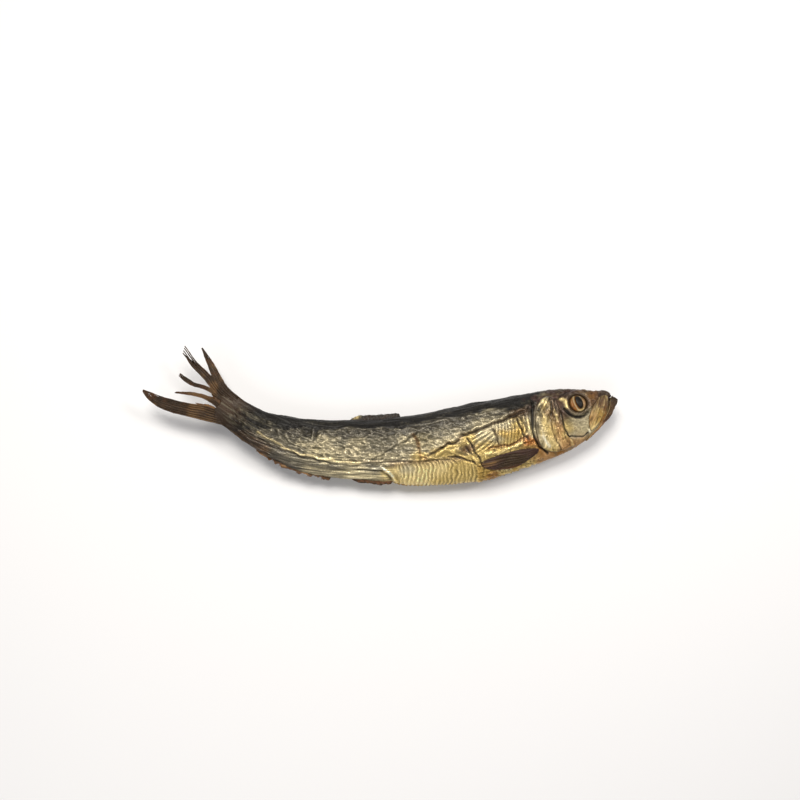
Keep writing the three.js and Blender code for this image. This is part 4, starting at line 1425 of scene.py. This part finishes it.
# %% [markdown]
# ## Eyes
# A dried eye sinks into its socket. A dark, tall pupil shows behind a dull lens, with a cream ring round
# it, and the iris is orange towards the gills. A shallow dome, painted in rings, is enough at this size,
# and a clear coat over it gives the one sharp highlight on the head.

# %% Eyes
EYE_DIAMETER = 10.0
EYE_DEPTH = 1.2  # how far the dome goes down inside the socket
EYE_SPOKES = 128
EYE_RINGS = 40
EYE_FINISH = fish_finish("dried eye", grain=0.5, bump=0.2, roughness=0.3, coat=0.3, metal=0.4, speck=0.12)


def hoop(distance, radius, width):
    """1 on a ring of that radius, falling off over its width."""
    return np.exp(-(((distance - radius) / width) ** 2))


def make_eye(side, node):
    """A painted dome in the eye's socket."""
    around = np.linspace(0, 2 * math.pi, EYE_SPOKES, endpoint=False)
    out = np.linspace(1, 0.02, EYE_RINGS)[:, None]
    ds = 0.46 * EYE_DIAMETER * out * np.cos(around)
    dh = 0.5 * EYE_DIAMETER * out * np.sin(around)
    s, h = EYE_CENTRE[0] + ds, EYE_CENTRE[1] + dh
    r = np.broadcast_to(out, s.shape)
    where = np.stack([s, h, np.full(s.shape, 3.0 * side)], -1)
    pupil = np.hypot((ds + 0.3) / 1.85, (dh - 0.2) / 3.5)  # 1 on the pupil's edge
    relief = 0.75 - 2.1 * r**2.2 + 0.45 * (1 - rise(0.8, 1.05, pupil)) - 0.35 * hoop(pupil, 1.15, 0.14)
    relief += 0.25 * hoop(r, 0.8, 0.08) + 0.12 * rumple(where, (1.4, 1.4, 2), 131, 2)
    tint = lay(np.broadcast_to(PALETTE["amber"], s.shape + (3,)), "brown", 0.35)
    tint = lay(tint, "orange", rise(-0.5, 2.2, ds) * (1 - rise(-1.5, 3.5, dh)) * 0.55)
    tint = lay(tint, "umber", rise(0.2, 2.4, -ds) * 0.8)
    tint = lay(tint, "brown", 0.6 * rise(0.1, 0.6, rumple(where, (1.6, 2.2, 2), 132, 2)))
    tint = lay(tint, "pale", 0.85 * hoop(pupil, 1.3, 0.13) * (0.35 + 0.65 * rise(-1, 1.5, ds)))
    tint = lay(tint, "pink", 0.7 * spot(ds, dh, (-2.9, -1.0), (0.9, 2.6), 10))
    tint = lay(tint, "cream", 0.65 * spot(ds, dh, (-0.5, -3.9), (2.2, 0.6)))
    tint = lay(tint, "umber", 0.92 * rise(0.8, 0.93, r))
    tint = lay(tint, "black", 1 - rise(0.88, 1.06, pupil))
    shine = 0.15 * rise(0.95, 1.1, pupil)
    front = on_flank(s, h, side, relief)
    back = on_flank(s[0], h[0], side, relief[0] - EYE_DEPTH)
    points, faces = close_rings(list(front[::-1]) + [back])

    def carry(values):
        return over_rings(list(values[::-1]) + [values[0]])

    return make_piece(node + "_ball", points, faces, carry(tint), carry(shine), [EYE_FINISH], node)


for side, side_name in SIDES:
    make_eye(side, side_name + "_eye")

# %% [markdown]
# ## Lower jaw
# The lower jaw of a herring juts out past the upper one, so it makes the tip of the snout and runs back as
# a narrow band under the head. It is a shell from the tip to the mouth's line, closed on its inner side.

# %% Lower jaw
LOWER_JAW_SPOTS = [
    (0.5, 0, "black"), (2, 2, "umber"), (3, -2, "umber"), (5, -3, "brown"), (7, -7, "umber"),
    (10, -9, "rust"), (14, -11.5, "pink"), (18, -13, "amber"), (23, -14.5, "pink"), (8, -9, "brown"),
    (14, -13.5, "rust"), (20, -15, "brown"),
]
JAW_SPOKES = 220
JAW_RINGS = 54
LIP_GAP = 0.35  # between the jaw's rim and the mouth's line
JAW_TIP = (0.02, 0.1)
JAW_SHINE = 0.08
INNER_RINGS = (0.95, 0.8, 0.45)  # the shares of the rim that close the shell inside


def make_lower_jaw():
    """A shell from the tip of the snout to the line of the mouth."""
    around = np.linspace(0, 2 * math.pi, JAW_SPOKES, endpoint=False)
    share = np.cos(around)
    out = np.linspace(0, 1, JAW_RINGS + 1)[1:, None] ** 1.15
    s = out * (mouth_station(share) - LIP_GAP)
    h = reach(s, share) * share
    d = np.sign(np.sin(around)) * flank(s, h)
    where = np.stack([s, h, d], -1)
    relief = 0.2 * ridged(turned(where, 0.86, -0.5), (5, 1.2, 2.4), 141, 2)
    relief += 0.25 * rumple(where, (4, 3, 3), 142, 2)
    relief += 0.3 * rise(0.9, 0.98, out) - 0.35 * rise(0.985, 1.0, out)
    relief *= rise(0, 0.12, out)
    smooth = place(s, h, d)
    heart = place(s, 0 * s, 0 * s)
    normals = outward_normals(smooth)
    normals *= np.sign(((smooth - heart) * normals).sum(-1) + 1e-9)[..., None]
    shell = smooth + normals * relief[..., None]
    crest = (relief - smoothed(relief, 3)) / 0.08
    pushed = [v + rumple(where, (3, 3, 3), seed) for v, seed in ((s, 143), (h, 144))]
    tint = from_spots(*pushed, LOWER_JAW_SPOTS)
    tint = lay(tint, "plum", 0.5 * rise(0.2, 0.8, rumple(where, (2.5, 1.6, 3), 145, 2)))
    # painted highlights: cream on the crests; then painted highlights on the crests and painted shade in the
    # hollows
    tint = lay(tint, "cream", 0.3 * rise(0.6, 1.6, crest))
    tint = tint * (1 + 0.3 * np.clip(crest, -2, 1.5))[..., None]
    inner = [heart[-1] + (shell[-1] - heart[-1]) * left for left in INNER_RINGS]
    points, faces = close_rings(list(shell) + inner, place(*JAW_TIP, 0))
    tints = over_rings(list(tint) + [tint[-1] * 0.4] * len(inner))
    shines = np.full(len(points), JAW_SHINE)
    return make_piece("lower_jaw_bone", points, faces, tints, shines, [JAW_BONE], "lower_jaw")


make_lower_jaw()

# %% [markdown]
# ## Rays with Geometry Nodes
# A fin is a fan of horny rays with a thin skin between them. Every ray is the same thing along another
# line: a tube that starts thick at the root, thins out to a hair and has small knuckles on its way.
# Geometry Nodes fit that well. The tree turns each line of the input into a curve, shakes it a little, and
# sweeps a circle along it whose size follows a rule. Its sizes are named inputs, so the tail and the small
# fins share one tree.

# %% What every tree here begins and ends with
def new_tree(name, inputs):
    """A tree with geometry going in and out: its recipe and its inputs as wires, by name."""
    tree = bpy.data.node_groups.new(name, "GeometryNodeTree")
    tree.interface.new_socket("Geometry", in_out="INPUT", socket_type="NodeSocketGeometry")
    for label, kind, value in inputs:
        made = tree.interface.new_socket(label, in_out="INPUT", socket_type="NodeSocket" + kind)
        if value is not None:
            made.default_value = value
    tree.interface.new_socket("Geometry", in_out="OUTPUT", socket_type="NodeSocketGeometry")
    given = tree.nodes.new("NodeGroupInput")
    r = Recipe(tree)
    return r, {socket.name: Wire(r, socket) for socket in given.outputs if socket.name}


def end_tree(r, geometry, finish):
    """The tree, ending in plain geometry that has its material."""
    geometry = r.node("GeometryNodeRealizeInstances", {}, {0: geometry})
    geometry = r.node("GeometryNodeSetMaterial", {}, {"Geometry": geometry, "Material": finish})
    left = r.tree.nodes.new("NodeGroupOutput")
    r.tree.links.new(geometry.socket, left.inputs[0])
    print(r.tree.name, len(r.tree.nodes), "nodes")
    return r.tree


def run_tree(tree, points, edges, settings):
    """The plain points and faces that a tree makes along lines, in millimetres."""
    mesh = bpy.data.meshes.new("lines")
    mesh.from_pydata((points * MM).tolist(), edges, [])
    carrier = bpy.data.objects.new("carrier", mesh)
    bpy.context.scene.collection.objects.link(carrier)
    modifier = carrier.modifiers.new("nodes", "NODES")
    modifier.node_group = tree
    for item in tree.interface.items_tree:
        if item.name in settings and item.in_out == "INPUT":
            modifier[item.identifier] = settings[item.name]
    bpy.context.view_layer.update()
    grown = bpy.data.meshes.new_from_object(carrier.evaluated_get(bpy.context.evaluated_depsgraph_get()))
    carrier.modifiers.remove(modifier)
    points = np.array([v.co for v in grown.vertices]) / MM
    faces = [tuple(face.vertices) for face in grown.polygons]
    bpy.data.objects.remove(carrier)
    bpy.data.meshes.remove(grown)
    return points, outward(points, faces)


# %% The tree of the rays
def ray_tree():
    """Lines in, tapered rays out."""
    r, take = new_tree("rays along lines", (
        ("Root radius", "Float", 0.00025), ("Tip radius", "Float", 0.00006), ("Knuckles", "Float", 14.0),
        ("Shake", "Float", 0.0003), ("Seed", "Float", 5.0), ("Finish", "Material", None),
    ))
    lines = r.node("GeometryNodeMeshToCurve", {}, {"Mesh": take["Geometry"]})
    lines = r.node("GeometryNodeResampleCurve", {"mode": "COUNT"}, {"Curve": lines, "Count": 26})
    along = r.node("GeometryNodeSplineParameter")
    where = r.node("GeometryNodeInputPosition")
    noise = r.node("ShaderNodeTexNoise", {"noise_dimensions": "4D"}, {
        "Vector": where, "W": take["Seed"], "Scale": 160.0, "Detail": 2.0,
    }, "Color")
    centred = r.node("ShaderNodeVectorMath", {"operation": "SUBTRACT"}, {0: noise, 1: (0.5, 0.5, 0.5)})
    push = take["Shake"] * along * 4
    push = r.node("ShaderNodeVectorMath", {"operation": "SCALE"}, {0: centred, "Scale": push})
    lines = r.node("GeometryNodeSetPosition", {}, {"Geometry": lines, "Offset": push})
    bead = r.node("ShaderNodeMath", {"operation": "SINE"}, {0: along * take["Knuckles"] * math.tau})
    radius = take["Root radius"] * (1 - along) + take["Tip radius"] * along
    radius = radius * (1 + 0.16 * bead)
    circle = r.node("GeometryNodeCurvePrimitiveCircle", {}, {"Resolution": 7, "Radius": 1.0})
    tubes = r.node("GeometryNodeCurveToMesh", {}, {
        "Curve": lines, "Profile Curve": circle, "Scale": radius, "Fill Caps": True,
    })
    return end_tree(r, tubes, take["Finish"])


RAY_TREE = ray_tree()
RAY_HORN = fish_finish("horn of the rays", grain=0.35, bump=0.3, roughness=0.38, coat=0.2, speck=0.2)


def grow_rays(lines, root, tip, seed, knuckles, shake):
    """Rays along lines of points, all sizes in millimetres."""
    edges = []
    first = 0
    for line in lines:
        edges += [(first + k, first + k + 1) for k in range(len(line) - 1)]
        first += len(line)
    grown = run_tree(RAY_TREE, np.concatenate(lines), edges, {
        "Root radius": root * MM, "Tip radius": tip * MM, "Knuckles": knuckles, "Shake": shake * MM,
        "Seed": float(seed), "Finish": RAY_HORN,
    })
    print(len(lines), "rays,", len(grown[0]), "points")
    return grown


# %% [markdown]
# ## The skin between the rays
# The membrane of a dried fin is brittle and torn. A sheet of it lies between two edges. It is a flat tube
# with its two sides hardly apart, so it stays closed, and each strip along it ends at a length of its own,
# which makes the frayed tip.

# %% A sheet between two edges
def resample(line, count):
    """The same line with evenly spaced points."""
    line = np.array(line, float)
    run = np.r_[0, np.cumsum(np.linalg.norm(np.diff(line, axis=0), axis=1))]
    even = np.linspace(0, run[-1], count)
    return np.stack([np.interp(even, run, line[:, k]) for k in range(line.shape[1])], -1)


def fin_sheet(edge_a, edge_b, along_count, thick, rays, seed, tear, curl, lift):
    """A torn sheet between two edges: points, faces, and each point's place along and across it."""
    a, b = resample(edge_a, along_count), resample(edge_b, along_count)
    across_count = 8 * rays + 3
    w = np.linspace(0, 1, across_count)
    strips = np.stack([w * 9.0, np.full(across_count, seed), np.zeros(across_count)], -1)
    length_of_strip = 1 - tear * (0.5 + 0.5 * rumple(strips, (1.1, 1, 1), seed, 2)).clip(0, 1)
    even = np.linspace(0, 1, along_count)
    u = even[:, None] * length_of_strip
    low, high = (np.stack([np.interp(u, even, line[:, k]) for k in (0, 1)], -1) for line in (a, b))
    flat = low + (high - low) * w[:, None]
    where = np.concatenate([flat, np.full(flat.shape[:-1] + (1,), 2.0 * seed)], -1)
    ridge = 0.35 + 0.65 * (0.5 + 0.5 * np.cos(2 * math.pi * rays * w))
    body = thick * (1 - 0.55 * u) * ridge * np.sqrt(np.clip(1 - (2 * w - 1) ** 10, 0.05, 1))
    middle = lift + 0.5 * rumple(where, (7, 4, 4), seed + 1, 2) * u + curl * u**2 * (w - 0.5)
    upper = np.concatenate([flat, (middle + body / 2)[..., None]], -1)
    lower = np.concatenate([flat, (middle - body / 2)[..., None]], -1)[:, ::-1]
    ring = np.concatenate([upper, lower], 1)
    points, faces = close_rings(place(*np.moveaxis(ring, -1, 0)))
    across = np.broadcast_to(np.r_[w, w[::-1]], ring.shape[:2]).ravel()
    far = np.concatenate([u, u[:, ::-1]], 1).ravel()
    return points, faces, np.r_[far, 0, 1], np.r_[across, 0.5, 0.5]


trial_sheet = fin_sheet([(0, 0), (9, 0)], [(0, 5), (9, 5)], 10, 0.5, 2, 1, 0.2, 0.0, 0.0)
print("a small trial sheet has", len(trial_sheet[0]), "points and", len(trial_sheet[1]), "faces")


# %% Painting a sheet, and joining sheets and rays
def sheet_paint(points, far, across, rays, colours, seed):
    """Dark rays with lighter skin between them; the colours are those of root, skin, rays and tip."""
    root, skin, ray, tip = colours
    stripe = (0.5 + 0.5 * np.cos(2 * math.pi * rays * across)) ** 2
    tint = np.broadcast_to(PALETTE[skin], points.shape)
    tint = lay(tint, tip, rise(0.55, 1.0, far + 0.15 * rumple(points, (5, 5, 5), seed, 2)))
    tint = lay(tint, ray, 0.8 * stripe)
    tint = lay(tint, "umber", 0.6 * rise(0.1, 0.7, rumple(points, (4, 4, 4), seed + 3, 2)))
    return lay(tint, root, 1 - rise(0.02, 0.3, far))


def make_fin(name, node, parts):
    """A piece from several lots of (points, faces, tint, shine, kind); kind 0 is membrane and 1 is horn."""
    points, faces, tints, shines, kinds, first = [], [], [], [], [], 0
    for p, f, tint, shine, kind in parts:
        points.append(p)
        faces += [tuple(i + first for i in face) for face in f]
        tints.append(tint)
        shines.append(np.full(len(p), shine))
        kinds += [kind] * len(f)
        first += len(p)
    points, tints, shines = (np.concatenate(values) for values in (points, tints, shines))
    return make_piece(name, points, faces, tints, shines, [FIN_MEMBRANE, RAY_HORN], node, kinds)


trial_paint = sheet_paint(trial_sheet[0], *trial_sheet[2:], 2, ("black", "brown", "umber", "umber"), 1)
print("mean colour of the trial sheet", trial_paint.mean(0).round(3))

# %% [markdown]
# ## Tail fin
# The tail has dried into five torn strands. The lowest is the broadest and hooks upwards at its tip, two
# thin ones stand alone, and the two upper ones are long and stiff. Amber skin is left between some of them
# near the root. Each strand is a sheet with rays along it, in a plane through the body's end.

# %% Where the strands lie
# Points are millimetres behind and above the end of the backbone. Each strand: its low edge, its high edge,
# its rays, its seed, how far it curls and how far its tip is torn back.
TAIL_STRANDS = [
    (
        [(-7.5, -7.4), (2.3, -11.6), (12.1, -15.4), (17.5, -17.9), (25.8, -19.9), (32.1, -19.8),
         (35.2, -18.9), (37.2, -18.1)],
        [(-3.0, -3.0), (7.4, -5.8), (12.4, -8.8), (20.6, -12.3), (29.5, -15.3), (32.2, -15.9),
         (35.0, -16.7), (36.9, -17.5)],
        6, 1, 1.6, 0.3,
    ),
    (
        [(-4, -3.5), (3.7, -2.4), (10.4, -3.0), (15.8, -5.4), (23.2, -9.2)],
        [(-4, -1.0), (4.4, -0.5), (10.6, -1.3), (16.0, -4.0), (22.7, -8.5)],
        2, 2, 0.6, 0.1,
    ),
    (
        [(-4, 0.5), (4.4, 1.6), (11.3, 1.4), (18.8, -1.4), (23.5, -1.8), (27.1, -0.9)],
        [(-4, 3.2), (4.6, 3.2), (11.5, 2.9), (18.0, 0.4), (22.8, 0.2), (27.2, 0.1)],
        2, 3, 0.8, 0.12,
    ),
    (
        [(-5, 1.5), (3.9, 1.7), (6.6, 2.6), (16.1, 5.2), (24.6, 6.5), (33.1, 9.5)],
        [(-5, 5.0), (6, 5.3), (13.6, 8.2), (23.9, 9.6), (34.2, 12.9)],
        3, 4, 1.4, 0.4,
    ),
    (
        [(-5, 4.4), (5.7, 5.2), (13.4, 8.6), (19.0, 12.1), (26.2, 16.9)],
        [(-4, 7.6), (2.2, 8.0), (6.1, 9.2), (17.6, 14.4), (26.4, 17.4)],
        3, 5, -1.0, 0.28,
    ),
]
# Torn skin left between two strands: its two edges, its rays and its seed.
TAIL_SKINS = [
    (
        [(-3, -3.4), (2.7, -3.2), (8.9, -4.6), (14.7, -7.9)],
        [(-3, -6), (5, -8), (10, -9.5), (13.4, -10.2)],
        3, 6,
    ),
    ([(-3, 2.6), (5.2, 2.4), (9.6, 2.0)], [(-3, -1.6), (6.4, -1.8), (10.4, -1.6)], 2, 7),
]
print(len(TAIL_STRANDS), "strands and", len(TAIL_SKINS), "skins between them")

# %% Where the tail grows out of the body
STRAND_THICKNESS = 0.7
SKIN_THICKNESS = 0.35
STRAND_POINTS = 90
SKIN_POINTS = 40
RAY_POINTS = 14
STRAND_LEVEL = -0.4
STRAND_STEP = 0.15  # each strand lies this much higher than the one before it
SKIN_TEAR = 0.5
SKIN_CURL = 0.8
RAY_LIFT = 0.3  # how far the rays stand above the middle of their sheet
RAY_STRAY = 0.12  # how unevenly the rays are spaced
FIRST_UPPER_STRAND = 4  # the seed of the first of the two darker strands


def behind(points):
    """Points behind the end of the body, as stations and heights."""
    return [(BODY_LENGTH + x, y) for x, y in points]


def darken_root(points, paint):
    """The paint, darkened where the tail grows out of the body."""
    far = np.linalg.norm(points - place(BODY_LENGTH - 2.0, 0.0, 0.0), axis=-1)
    far = far + 2.5 * rumple(points, (3, 3, 3), 153, 2)
    return lay(paint, "umber", 0.85 * (1 - rise(5, 17, far)))


print("the tail reaches", max(x for strand in TAIL_STRANDS for x, y in strand[0]), "mm behind the backbone")


# %% Tail fin
parts = []
ray_lines = []
for low, high, rays, seed, curl, tear in TAIL_STRANDS:
    low, high = behind(low), behind(high)
    lift = STRAND_STEP * seed + STRAND_LEVEL
    sheet, faces, far, across = fin_sheet(
        low, high, STRAND_POINTS, STRAND_THICKNESS, rays, seed, tear, curl, lift
    )
    paint = sheet_paint(sheet, far, across, rays, ("black", "brown", "umber", "umber"), seed)
    patches = rise(0.2, 0.8, rumple(sheet, (5, 5, 3), seed + 9, 2)) * (1 - rise(0.5, 0.8, far))
    paint = lay(paint, "amber", 0.3 * patches)
    if seed >= FIRST_UPPER_STRAND:
        paint = lay(paint, "black", np.full(len(sheet), 0.35))
    parts.append((sheet, faces, darken_root(sheet, paint), 0.08, 0))
    low, high = resample(low, RAY_POINTS), resample(high, RAY_POINTS)
    for k in range(rays + 1):
        w = (k + RAY_STRAY * math.sin(5 * k + seed)) / rays
        line = low + (high - low) * np.clip(w, 0.02, 0.98)
        curled = curl * np.linspace(0, 1, RAY_POINTS) ** 2 * (w - 0.5)
        ray_lines.append(place(line[:, 0], line[:, 1], lift + RAY_LIFT + curled))
for low, high, rays, seed in TAIL_SKINS:
    low, high = behind(low), behind(high)
    sheet, faces, far, across = fin_sheet(
        low, high, SKIN_POINTS, SKIN_THICKNESS, rays, seed, SKIN_TEAR, SKIN_CURL, STRAND_LEVEL
    )
    paint = sheet_paint(sheet, far, across, rays, ("umber", "amber", "rust", "brown"), seed)
    parts.append((sheet, faces, paint, 0.05, 0))
horn, horn_faces = grow_rays(ray_lines, root=0.45, tip=0.26, seed=3, knuckles=15.0, shake=0.3)
paint = np.broadcast_to(PALETTE["umber"], horn.shape)
paint = lay(paint, "rust", 0.4 * rise(0, 0.6, rumple(horn, (3, 3, 3), 151, 2)))
paint = lay(paint, "pink", 0.3 * rise(0.35, 0.8, rumple(horn, (5, 5, 5), 152)))
parts.append((horn, horn_faces, darken_root(horn, paint), 0.12, 1))
make_fin("tail_fin_rays", "tail_fin", parts)

# %% [markdown]
# ## The small fins
# The back fin lies folded along the ridge, thin and dark, with a painted highlight near its tail end. The
# belly fins are dark red slips. The anal fin is a low ragged fringe that has dried brown and pink.

# %% A fin along the ridge of the back or the belly
FIN_COLUMNS = 80
FIN_ROWS = 18
RAY_STEPS = np.linspace(0, 1, 6)
RAY_LEAN = 0.9  # how far each ray leans towards the tail at its tip


def fringe(start, length, root, tip, outline, aside, thick, rays, seed, tear):
    """A fin's folded sheet: its rings, how ray-like each point is, its share across, and ray lines."""
    even = np.linspace(0, 1, FIN_COLUMNS)
    stations = start + length * even
    edge = -1.0 if tip < root else 1.0
    ragged = 1 + tear * rumple(np.stack([stations, stations * 0, stations * 0], -1), (1.6, 1, 1), seed, 2)
    low = edge * reach(stations, np.full(FIN_COLUMNS, edge)) + root
    high = low + (tip - root) * np.interp(even, *np.array(outline).T) * ragged
    w = np.linspace(0, 1, FIN_ROWS)[:, None]
    s = stations + w * 0
    h = low + (high - low) * w
    z = aside + 0.25 * rumple(np.stack([s, h, 0 * s], -1), (4, 2, 2), seed + 2, 2) * w
    slope = 0.5 + 0.5 * np.cos(2 * math.pi * (rays * (s - start) / length + 1.2 * w))
    half = thick * (0.5 - 0.32 * w) * (0.5 + 0.5 * slope)
    front, back = np.stack([s, h, z + half], -1), np.stack([s, h, z - half], -1)[::-1]
    ring = np.concatenate([front, back], 0).transpose(1, 0, 2)
    across = np.broadcast_to(np.r_[w[:, 0], w[::-1, 0]], ring.shape[:2])
    lines = []
    for k in range(rays):
        j = int((FIN_COLUMNS - 1) * (k + 0.5) / rays)
        lean = stations[j] + RAY_LEAN * RAY_STEPS
        up = low[j] + (high[j] - low[j]) * 1.04 * RAY_STEPS
        lines.append(place(lean, up, aside + thick * 0.4 * (1 - RAY_STEPS)))
    return ring, np.concatenate([slope, slope[::-1]], 0).T, across, lines


def edge_fin(
    name, node, span, root, tip, outline, colours, seed, rays, aside=0.0, thick=0.5, tear=0.3, highlight_at=None
):
    """A fin along the back (tip above root) or the belly, folded flat. The outline is in shares."""
    start, length = span
    ring, stripe, across, lines = fringe(start, length, root, tip, outline, aside, thick, rays, seed, tear)
    points, faces = close_rings(place(*np.moveaxis(ring, -1, 0)))
    tint = lay(np.broadcast_to(PALETTE[colours[0]], ring.shape), colours[1], rise(0.3, 1, across))
    tint = lay(tint, colours[2], 0.7 * stripe**2)
    tint = lay(tint, colours[3], rise(0.1, 0.7, rumple(ring, (3, 2, 2), seed + 5, 2)) * 0.8)
    # painted highlight: a cream patch at that station
    if highlight_at:
        tint = lay(tint, "cream", 0.9 * hoop(ring[..., 0], highlight_at, 1.6) * rise(0.3, 0.8, across))
    horn, horn_faces = grow_rays(lines, root=0.2, tip=0.07, seed=seed, knuckles=5.0, shake=0.15)
    horn_tint = np.broadcast_to(PALETTE[colours[2]], horn.shape)
    horn_tint = lay(horn_tint, colours[1], rise(0, 0.6, rumple(horn, (2, 2, 2), seed)))
    sheet = (points, faces, over_rings(tint), 0.06, 0)
    return make_fin(name, node, [sheet, (horn, horn_faces, horn_tint, 0.1, 1)])


print("a folded fin is", FIN_COLUMNS, "by", 2 * FIN_ROWS, "points")

# %% Small fins
BACK_FIN_OUTLINE = [(0, 0), (0.03, 0.85), (0.1, 1), (0.8, 0.92), (0.93, 0.5), (1, 0)]
ANAL_OUTLINE = [(0, 0), (0.04, 1), (0.15, 0.85), (0.5, 0.85), (0.85, 0.65), (1, 0)]
SLIP_OUTLINE = [(0, 0), (0.05, 0.8), (0.3, 1), (0.8, 0.75), (1, 0)]

edge_fin(
    "back_fin", "dorsal_fin", (112.4, 28.6), root=-0.8, tip=2.7, outline=BACK_FIN_OUTLINE,
    colours=("black", "black", "umber", "umber"), seed=161, rays=16, tear=0.04, highlight_at=136.5,
)
edge_fin(
    "anal_fringe", "anal_fin", (146.5, 39.5), root=0.9, tip=-2.3, outline=ANAL_OUTLINE,
    colours=("umber", "brown", "rust", "pink"), seed=171, rays=24,
)
for side, side_name in SIDES:
    edge_fin(
        side_name + "_pelvic_fin_slip", side_name + "_pelvic_fin", (117.4, 21.6), root=0.9, tip=-1.7,
        outline=SLIP_OUTLINE, colours=("rust", "umber", "rust", "umber"), seed=181 + side, rays=9,
        aside=0.65 * side, thick=0.45, tear=0.15,
    )

# %% [markdown]
# ## The keel of the belly
# A herring has a row of sharp scutes along its belly, from the throat to the vent. They repeat along a
# line, so Geometry Nodes set one scute at each step of the keel, turn it along the line and vary its size a
# little.

# %% The tree of the scutes
def scute_tree():
    """A row of scutes along a line."""
    r, take = new_tree("scutes along a line", (
        ("Step", "Float", 0.0018), ("Length", "Float", 0.0022), ("Width", "Float", 0.0007),
        ("Seed", "Int", 4), ("Finish", "Material", None),
    ))
    keel = r.node("GeometryNodeMeshToCurve", {}, {"Mesh": take["Geometry"]})
    keel = r.node("GeometryNodeResampleCurve", {"mode": "LENGTH"}, {"Curve": keel, "Length": take["Step"]})
    cone = r.node("GeometryNodeMeshCone", {}, {
        "Vertices": 8, "Side Segments": 4, "Radius Top": 0.0,
        "Radius Bottom": take["Width"], "Depth": take["Length"],
    })
    tangent = r.node("GeometryNodeInputTangent")
    rotation = r.node("FunctionNodeAlignRotationToVector", {"axis": "Z"}, {"Vector": tangent})
    size = r.node("FunctionNodeRandomValue", {"data_type": "FLOAT"}, {2: 0.7, 3: 1.2}, 1)
    # the node has several hidden sockets, so the seed's is picked by its identifier
    seed = next(socket for socket in size.socket.node.inputs if socket.identifier == "Seed")
    r.tree.links.new(take["Seed"].socket, seed)
    row = r.node("GeometryNodeInstanceOnPoints", {}, {
        "Points": keel, "Instance": cone, "Rotation": rotation, "Scale": size,
    })
    return end_tree(r, row, take["Finish"])


# %% Keel scutes
KEEL_START = 58.0
KEEL_END = 116.0
KEEL_POINTS = 120
KEEL_DEPTH = 0.15  # how far the scutes' line lies inside the belly's edge
SCUTE_SHINE = 0.25

keel_stations = np.linspace(KEEL_START, KEEL_END, KEEL_POINTS)
keel_line = place(keel_stations, KEEL_DEPTH - reach(keel_stations, np.full(KEEL_POINTS, -1.0)), 0.0)
keel_edges = [(k, k + 1) for k in range(KEEL_POINTS - 1)]
scutes, scute_faces = run_tree(scute_tree(), keel_line, keel_edges, {
    "Step": 1.85 * MM, "Length": 2.3 * MM, "Width": 0.62 * MM, "Seed": 4, "Finish": SKIN,
})
scute_tint = np.broadcast_to(PALETTE["straw"], scutes.shape)
scute_tint = lay(scute_tint, "amber", rise(-0.3, 0.5, rumple(scutes, (4, 4, 2), 191, 2)))
scute_shine = np.full(len(scutes), SCUTE_SHINE)
make_piece("keel_scutes", scutes, scute_faces, scute_tint, scute_shine, [SKIN], "body")
